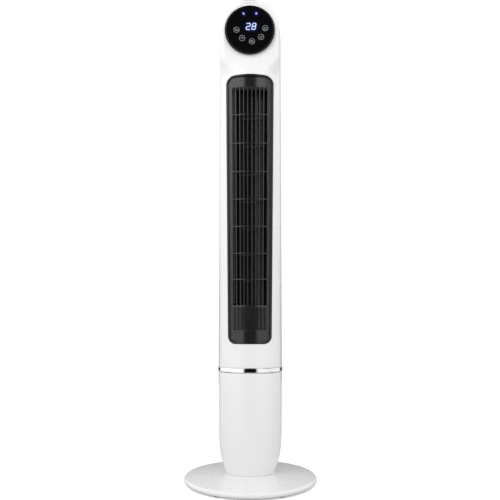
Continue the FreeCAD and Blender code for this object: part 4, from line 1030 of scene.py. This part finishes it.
def bar_x(i, z):
    """Centre of bar i; 0 and 9 are the sides of the opening."""
    if i == 0:
        return -slot_half(z) - 1.5
    if i == 9:
        return slot_half(z) + 1.5
    t = (z - SLOT_Z0) / (SLOT_Z1 - SLOT_Z0)
    return (i - 4.5) * (8.25 + (9.22 - 8.25) * t)


GAPS = []
for i in range(9):
    lo = bar_x(i, SLOT_Z1) + 1.5
    hi = bar_x(i + 1, SLOT_Z1) - 1.5
    GAPS.append(((lo + hi) / 2, (hi - lo) / 2))
opening = []
for k in range(81):
    z = SLOT_Z0 + (SLOT_Z1 - 3.0 - SLOT_Z0) * k / 80
    opening.append((slot_half(z), z))
left_side = [(-x, z) for x, z in reversed(opening)]
for xc, hw in reversed(GAPS):
    for k in range(13):
        a = math.pi * k / 12
        opening.append((xc + hw * math.cos(a), SLOT_Z1 - 3.0 + 3.0 * math.sin(a)))
opening += left_side
open_hole(bm, opening, lambda x, z: on_face(x, z, -0.65))
plate = shell_from_sheet("front_grille_plate", bm, 2.4, M_GRILLE, 32.0)

# the closed field below the slots, ribbed like the bars above it
bm = bmesh.new()
field_z = [BLANK_Z0 + 0.9, BLANK_Z0 + 1.4] + spread(BLANK_Z0 + 3.0, SLOT_Z0 - 6.0, 5.0) + [SLOT_Z0 - 5.2, SLOT_Z0 - 4.8]
field_x = sorted({round(k * 0.515, 3) for k in range(-72, 73)})


def field_height(x, z):
    dd = abs((x / (slot_half(z) * 2 / 9) - 0.5) - round(x / (slot_half(z) * 2 / 9) - 0.5)) * slot_half(z) * 2 / 9
    return 0.16 if dd < 0.62 else -0.55


grid(bm, [[on_face(x, z, -0.4 + 0.22 + field_height(x, z) * (0 if k in (0, len(field_z) - 1) else 1)) for x in field_x]
          for k, z in enumerate(field_z)])
field = shell_from_sheet("front_grille_field", bm, 0.5, M_FIELD, 30.0)

bm = bmesh.new()
bar_prof = rounded([(-1.1, -3.6), (-1.15, -0.65), (1.15, -0.65), (1.1, -3.6)], [0.2, 0.7, 0.7, 0.2], 4)
for i in range(1, 9):
    loops = []
    for j in range(49):
        z = SLOT_Z0 - 1.4 + (SLOT_Z1 - SLOT_Z0 + 1.0) * j / 48
        xc = bar_x(i, z)
        loops.append([on_face(xc + dd, z, hh) for dd, hh in bar_prof])
    tube_sweep(bm, loops)
bars = finish_mesh("front_grille_bars", bm, M_GRILLE, 50.0)
# sloping scoops behind the tops of the slots
bm = bmesh.new()
for xc, hw in GAPS:
    front_pts, back_pts = [], []
    rows_s = []
    for j in range(5):
        t = j / 4
        row = []
        for k in range(13):
            a = math.pi * k / 12
            row.append(on_face(xc + (hw + 0.6) * math.cos(a), SLOT_Z1 - 3.0 - 4.6 * t + (3.5 - 1.0 * t) * math.sin(a),
                               -1.6 - 5.4 * t))
        rows_s.append(row)
    for j in range(4, -1, -1):
        t = j / 4
        row = []
        for k in range(13):
            a = math.pi * k / 12
            row.append(on_face(xc + (hw + 0.6) * math.cos(a), SLOT_Z1 - 3.0 - 4.6 * t + (3.5 - 1.0 * t) * math.sin(a) + 1.3,
                               -1.9 - 5.4 * t))
        rows_s.append(row)
    verts = [[bm.verts.new(p) for p in row] for row in rows_s]
    count = len(verts)
    for j in range(count):
        a, b = verts[j], verts[(j + 1) % count]
        for k in range(12):
            bm.faces.new([a[k], a[k + 1], b[k + 1], b[k]])
    for k in (0, 12):
        bm.faces.new([row[k] for row in verts])
scoops = finish_mesh("front_grille_scoops", bm, M_GRILLE, 50.0)
bm = bmesh.new()
rib_prof = rounded([(-1.15, -8.0), (-1.15, -1.05), (1.15, -1.05), (1.15, -8.0)], [0.2, 0.6, 0.6, 0.2], 3)
for z in RIBS:
    hw = slot_half(z) + 0.8
    loops = []
    for j in range(41):
        x = -hw + 2 * hw * j / 40
        loops.append([on_face(x, z + dd, hh) for dd, hh in rib_prof])
    tube_sweep(bm, loops)
ribs = finish_mesh("front_grille_ribs", bm, M_GRILLE, 50.0)


# ---------------------------------------------------------- touch panel
def panel_at(x, y, h):
    return Vector((x, -h, PANEL_Z + y))


prof = [(0.0, 61.3), (54.9, 61.3)] + [(54.9, 66.2)] + arc2(53.9, 66.2, 1.0, 0, 90, 10) + \
       [(51.0, 67.2), (44.0, 67.2), (30.0, 67.2), (12.0, 67.2), (0.0, 67.2)]
bm = bmesh.new()
lathe(bm, prof, 160, panel_at)
lens = finish_mesh("panel_lens_skin", bm, M_LENS, 40.0)
prof = rounded([(53.6, 60.0), (57.2, 60.0), (57.2, 66.6), (55.05, 66.6), (55.05, 61.2), (53.6, 61.2)],
               [0.1, 0.15, 0.7, 0.25, 0.1, 0.1], 5)
bm = bmesh.new()
lathe(bm, prof, 160, panel_at)
bezel = finish_mesh("panel_bezel_skin", bm, M_GLOSS, 45.0)

FACE_H = 67.26


def stroke(bm, points, width, closed=False, h=FACE_H, thick=0.10):
    """Flat ribbon with thickness along a polyline in panel (x, z)."""
    pts = [Vector(p) for p in points]
    count = len(pts)
    left, right = [], []
    for i in range(count):
        if closed:
            a, b = pts[i - 1], pts[(i + 1) % count]
        else:
            a, b = pts[max(0, i - 1)], pts[min(count - 1, i + 1)]
        d = (b - a).normalized()
        nrm = Vector((-d.y, d.x)) * (width / 2)
        left.append(pts[i] + nrm)
        right.append(pts[i] - nrm)
    span = range(count if closed else count - 1)
    top_l = [bm.verts.new(panel_at(p.x, p.y, h)) for p in left]
    top_r = [bm.verts.new(panel_at(p.x, p.y, h)) for p in right]
    low_l = [bm.verts.new(panel_at(p.x, p.y, h - thick)) for p in left]
    low_r = [bm.verts.new(panel_at(p.x, p.y, h - thick)) for p in right]
    for i in span:
        j = (i + 1) % count
        bm.faces.new([top_l[i], top_l[j], top_r[j], top_r[i]])
        bm.faces.new([low_r[i], low_r[j], low_l[j], low_l[i]])
        bm.faces.new([low_l[i], low_l[j], top_l[j], top_l[i]])
        bm.faces.new([top_r[i], top_r[j], low_r[j], low_r[i]])
    if not closed:
        for i in (0, count - 1):
            bm.faces.new([top_l[i], top_r[i], low_r[i], low_l[i]])


def circle_pts(cx, cz, r, a0=0, a1=360, steps=40, closed=True):
    count = steps if closed else steps + 1
    return [(cx + r * math.cos(math.radians(a0 + (a1 - a0) * k / steps)),
             cz + r * math.sin(math.radians(a0 + (a1 - a0) * k / steps))) for k in range(count)]


KEYS = [(-30.2, -0.7), (-17.4, -20.4), (4.9, -28.4), (25.8, -18.4), (35.2, 2.4)]
bm = bmesh.new()
for kx, kz in KEYS:
    stroke(bm, circle_pts(kx, kz, 6.3), 0.7, closed=True)


def wave(cx, cz, width, amp, turns=1.0, steps=18):
    return [(cx - width / 2 + width * k / steps, cz + amp * math.sin(2 * math.pi * turns * k / steps)) for k in range(steps + 1)]


# generic marks: swing, timer, breeze, speed, power
kx, kz = KEYS[0]
stroke(bm, wave(kx, kz + 0.9, 7.0, 1.1), 0.9)
stroke(bm, wave(kx, kz - 1.7, 7.0, 1.1), 0.9)
kx, kz = KEYS[1]
stroke(bm, [(kx - 3.6, kz), (kx + 3.6, kz)], 0.9)
stroke(bm, [(kx, kz), (kx, kz + 3.4)], 0.9)
kx, kz = KEYS[2]
stroke(bm, wave(kx, kz + 1.6, 7.2, 0.8), 0.9)
stroke(bm, wave(kx, kz - 1.4, 7.2, 0.8), 0.9)
kx, kz = KEYS[3]
stroke(bm, [(kx - 3.4, kz - 0.6), (kx, kz + 0.4), (kx + 3.4, kz + 1.6)], 1.0)
stroke(bm, [(kx - 1.6, kz - 3.0), (kx + 1.2, kz - 2.2)], 0.9)
kx, kz = KEYS[4]
stroke(bm, [(kx - 3.4, kz + 0.8), (kx + 3.4, kz + 0.8)], 0.9)
stroke(bm, circle_pts(kx, kz - 0.4, 3.2, 200, 340, 14, False), 0.9)
icons = finish_mesh("panel_icons", bm, M_ICON, 40.0, 0.0005)


def smooth_path(points, radius, steps=6, closed=False):
    """Polyline with rounded corners."""
    out = []
    count = len(points)
    for i in range(count):
        p1 = Vector(points[i])
        if not closed and i in (0, count - 1):
            out.append((p1.x, p1.y))
            continue
        p0, p2 = Vector(points[i - 1]), Vector(points[(i + 1) % count])
        d0, d2 = p0 - p1, p2 - p1
        r = min(radius, d0.length * 0.49, d2.length * 0.49)
        a, b = p1 + d0.normalized() * r, p1 + d2.normalized() * r
        for k in range(steps + 1):
            t = k / steps
            q = a * (1 - t) ** 2 + p1 * (2 * t * (1 - t)) + b * t ** 2
            out.append((q.x, q.y))
    return out


def lean(points, cx, cz, slant=0.16):
    return [(cx + x + slant * z, cz + z) for x, z in points]


def dot(bm, cx, cz, r):
    top = [bm.verts.new(panel_at(cx + r * math.cos(math.pi * k / 8), cz + r * math.sin(math.pi * k / 8), FACE_H)) for k in range(16)]
    low = [bm.verts.new(panel_at(cx + r * math.cos(math.pi * k / 8), cz + r * math.sin(math.pi * k / 8), FACE_H - 0.1)) for k in range(16)]
    bm.faces.new(top)
    bm.faces.new(list(reversed(low)))
    for i in range(16):
        j = (i + 1) % 16
        bm.faces.new([low[i], low[j], top[j], top[i]])


bm = bmesh.new()
DW, DH, ST = 4.1, 7.3, 2.25
two = smooth_path([(-DW, DH - 0.4), (-DW + 1.5, DH), (DW, DH), (DW, 0.0), (-DW, 0.0), (-DW, -DH), (DW, -DH)], 3.2)
two = lean(two, -3.3, 6.9)
stroke(bm, two, ST)
dot(bm, two[0][0], two[0][1], ST / 2)
dot(bm, two[-1][0], two[-1][1], ST / 2)
upper = smooth_path([(-DW + 0.5, 0.3), (-DW + 0.5, DH), (DW, DH), (DW, 0.3)], 3.0, closed=True)
lower = smooth_path([(-DW, 0.0), (-DW, -DH), (DW, -DH), (DW, 0.0)], 3.2, closed=True)
stroke(bm, lean(upper, 9.4, 6.9), ST, closed=True)
stroke(bm, lean(lower, 9.4, 6.9), ST, closed=True, h=FACE_H + 0.02)
digits = finish_mesh("panel_digits", bm, M_DIGIT, 40.0, 0.0005)

bm = bmesh.new()
for cx, cz, rx, rz, tilt in ((-14.2, 37.4, 1.8, 3.5, 0.6), (15.0, 37.6, 2.5, 2.5, 0.0)):
    top, low = [], []
    for k in range(32):
        a = 2 * math.pi * k / 32
        px, pz = rx * math.cos(a), rz * math.sin(a)
        qx = cx + px * math.cos(tilt) - pz * math.sin(tilt)
        qz = cz + px * math.sin(tilt) + pz * math.cos(tilt)
        top.append(bm.verts.new(panel_at(qx, qz, FACE_H)))
        low.append(bm.verts.new(panel_at(qx, qz, FACE_H - 0.12)))
    bm.faces.new(top)
    bm.faces.new(list(reversed(low)))
    for i in range(32):
        j = (i + 1) % 32
        bm.faces.new([low[i], low[j], top[j], top[i]])
leds = finish_mesh("panel_lights", bm, M_LED, 40.0, 0.0005)

# ------------------------------------------------------------- riding
for piece, body, stands in (
        (front_skin, "column", ("front_housing",)), (rear_skin, "column", ("rear_housing",)),
        (wells, "column", ()), (cup, "column", ("handle_cup",)), (pedestal, "base", ("pedestal_shell",)),
        (disc, "base", ("base_disc",)), (ring, "column", ("chrome_ring",)), (trim, "column", ("grille_trim",)),
        (plate, "column", ("front_grille",)), (bars, "column", ()), (ribs, "column", ()), (scoops, "column", ()),
        (lens, "column", ("panel_lens",)), (bezel, "column", ("panel_bezel",)), (icons, "column", ()),
        (digits, "column", ()), (leds, "column", ()), (field, "column", ()), (crown_shade_strip, "column", ())):
    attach(piece, body)
    if stands:
        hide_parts(*stands)

# ------------------------------------------------------- stage and light
m, tree, bsdf = new_material("floor_white")
bsdf.inputs["Roughness"].default_value = 0.9
bsdf.inputs["Specular IOR Level"].default_value = 0.1
tint_noise(tree, bsdf, (0.88, 0.88, 0.88), 0.005, 2.0)
bsdf.inputs["Emission Color"].default_value = (1, 1, 1, 1)
bsdf.inputs["Emission Strength"].default_value = 0.42
dull = tree.nodes.new("ShaderNodeBsdfDiffuse")
dull.inputs["Color"].default_value = (0.55, 0.55, 0.55, 1)
seen = tree.nodes.new("ShaderNodeLightPath")
either = tree.nodes.new("ShaderNodeMixShader")
tree.links.new(seen.outputs["Is Camera Ray"], either.inputs["Fac"])
tree.links.new(dull.outputs["BSDF"], either.inputs[1])
tree.links.new(bsdf.outputs["BSDF"], either.inputs[2])
tree.links.new(either.outputs["Shader"], [n for n in tree.nodes if n.type == "OUTPUT_MATERIAL"][0].inputs["Surface"])
bm = bmesh.new()
xs_f = [-1.6, -0.8, 0.0, 0.8, 1.6]
ys_f = [-1.0, -0.4, 0.3, 1.0, 1.9]
verts = [[bm.verts.new((x, y, 0.0)) for x in xs_f] for y in ys_f]
for a, b in zip(verts, verts[1:]):
    for i in range(4):
        bm.faces.new([a[i], a[i + 1], b[i + 1], b[i]])
mesh = bpy.data.meshes.new("floor")
bm.to_mesh(mesh)
bm.free()
floor = link(bpy.data.objects.new("floor", mesh))
mesh.materials.append(m)

world = bpy.data.worlds.new("studio")
scene.world = world
world.use_nodes = True
wt = world.node_tree
wt.nodes.clear()
w_out = wt.nodes.new("ShaderNodeOutputWorld")
coord = wt.nodes.new("ShaderNodeTexCoord")
sep = wt.nodes.new("ShaderNodeSeparateXYZ")
wt.links.new(coord.outputs["Generated"], sep.inputs["Vector"])


def wmath(op, a, b=None):
    node = wt.nodes.new("ShaderNodeMath")
    node.operation = op
    for k, v in enumerate((a, b)):
        if v is None:
            continue
        if isinstance(v, (int, float)):
            node.inputs[k].default_value = v
        else:
            wt.links.new(v, node.inputs[k])
    return node.outputs["Value"]


back_way = wmath("MULTIPLY", sep.outputs["Y"], -1.0)
turn = wmath("ARCTAN2", sep.outputs["X"], back_way)
around = wmath("ADD", wmath("MULTIPLY", turn, 1.0 / (2 * math.pi)), 0.5)     # 0.5 faces the front
height = wmath("ADD", wmath("MULTIPLY", sep.outputs["Z"], 0.5), 0.5)         # 0.5 is the horizon


def wramp(source, stops):
    node = wt.nodes.new("ShaderNodeValToRGB")
    els = node.color_ramp.elements
    els[0].position, els[0].color = stops[0][0], (stops[0][1] / 4,) * 3 + (1,)
    els[1].position, els[1].color = stops[-1][0], (stops[-1][1] / 4,) * 3 + (1,)
    for pos, val in stops[1:-1]:
        e = els.new(pos)
        e.color = (val / 4, val / 4, val / 4, 1)
    wt.links.new(source, node.inputs["Fac"])
    return wmath("MULTIPLY", node.outputs["Color"], 4.0)


def at(degrees):
    return 0.5 + degrees / 360.0


def up(degrees):
    return 0.5 + 0.5 * math.sin(math.radians(degrees))


soft_az = wramp(around, [(0.0, 0.55), (at(-130), 0.82), (at(-70), 1.28), (at(-20), 1.22), (at(20), 1.17),
                         (at(70), 1.24), (at(130), 0.82), (1.0, 0.55)])
soft_el = wramp(height, [(0.0, 0.5), (up(-20), 0.75), (up(0), 0.98), (up(20), 1.13), (up(45), 0.94), (1.0, 0.58)])
low_az = wramp(around, [(0.0, 0.03), (at(-138), 0.03), (at(-126), 0.95), (at(-60), 1.05), (at(-15.5), 1.05), (at(-11), 0.003),
                        (at(11), 0.003), (at(15.5), 0.94), (at(60), 0.92), (at(126), 0.85), (at(138), 0.03), (1.0, 0.03)])
high_az = wramp(around, [(0.0, 0.17), (at(-158), 0.26), (at(-142), 0.9), (at(-60), 1.05), (at(-14.5), 1.05), (at(-11), 0.003),
                         (at(11), 0.003), (at(14.5), 0.92), (at(27), 0.92), (at(37), 0.5), (at(60), 0.5), (at(100), 0.82),
                         (at(142), 0.8), (at(158), 0.13), (1.0, 0.17)])
upper = wramp(height, [(0.0, 0.0), (up(0), 0.0), (up(7), 1.0), (1.0, 1.0)])
gloss_az = wmath("ADD", wmath("MULTIPLY", low_az, wmath("SUBTRACT", 1.0, upper)), wmath("MULTIPLY", high_az, upper))
gloss_el = wramp(height, [(0.0, 0.7), (up(-14), 1.02), (up(-6), 1.12), (up(2), 1.05), (up(8), 1.35), (up(20), 2.0), (up(34), 2.0),
                          (up(52), 1.1), (1.0, 0.8)])


def backdrop(az_value, el_value):
    node = wt.nodes.new("ShaderNodeBackground")
    node.inputs["Color"].default_value = (1, 1, 1, 1)
    wt.links.new(wmath("MULTIPLY", az_value, el_value), node.inputs["Strength"])
    return node.outputs["Background"]


path = wt.nodes.new("ShaderNodeLightPath")
first = wt.nodes.new("ShaderNodeMixShader")
wt.links.new(path.outputs["Is Glossy Ray"], first.inputs["Fac"])
wt.links.new(backdrop(soft_az, soft_el), first.inputs[1])
wt.links.new(backdrop(gloss_az, gloss_el), first.inputs[2])
plain = wt.nodes.new("ShaderNodeBackground")
plain.inputs["Color"].default_value = (1, 1, 1, 1)
plain.inputs["Strength"].default_value = 1.05
second = wt.nodes.new("ShaderNodeMixShader")
wt.links.new(path.outputs["Is Camera Ray"], second.inputs["Fac"])
wt.links.new(first.outputs["Shader"], second.inputs[1])
wt.links.new(plain.outputs["Background"], second.inputs[2])
wt.links.new(second.outputs["Shader"], w_out.inputs["Surface"])


def area(name, where, look, size, power):
    data = bpy.data.lights.new(name, "AREA")
    data.shape = "RECTANGLE"
    data.size, data.size_y = size
    data.energy = power
    obj = link(bpy.data.objects.new(name, data))
    obj.location = where
    direction = Vector(look) - Vector(where)
    obj.rotation_euler = direction.to_track_quat("-Z", "Y").to_euler()
    obj.visible_camera = False
    obj.visible_glossy = False
    return obj


area("key_soft", (-1.0, -1.5, 2.0), (0.0, 0.0, 0.85), (1.3, 1.3), 9.0)

# --------------------------------------------------------------- camera
AZ, DIST, CAM_Z, PITCH, SIDE = math.radians(1.1), 1.472, 0.384, math.radians(5.3), -0.0007
cam_data = bpy.data.cameras.new("view")
cam_data.sensor_width = 36.0
cam_data.lens = 640.0 / 500.0 * 36.0
cam = link(bpy.data.objects.new("view", cam_data))
cam.location = (DIST * math.sin(AZ) + SIDE * math.cos(AZ), -DIST * math.cos(AZ) + SIDE * math.sin(AZ), CAM_Z)
cam.rotation_euler = (math.radians(90) + PITCH, 0.0, AZ)
scene.camera = cam
scene.view_settings.view_transform = "Standard"
scene.view_settings.look = "None"
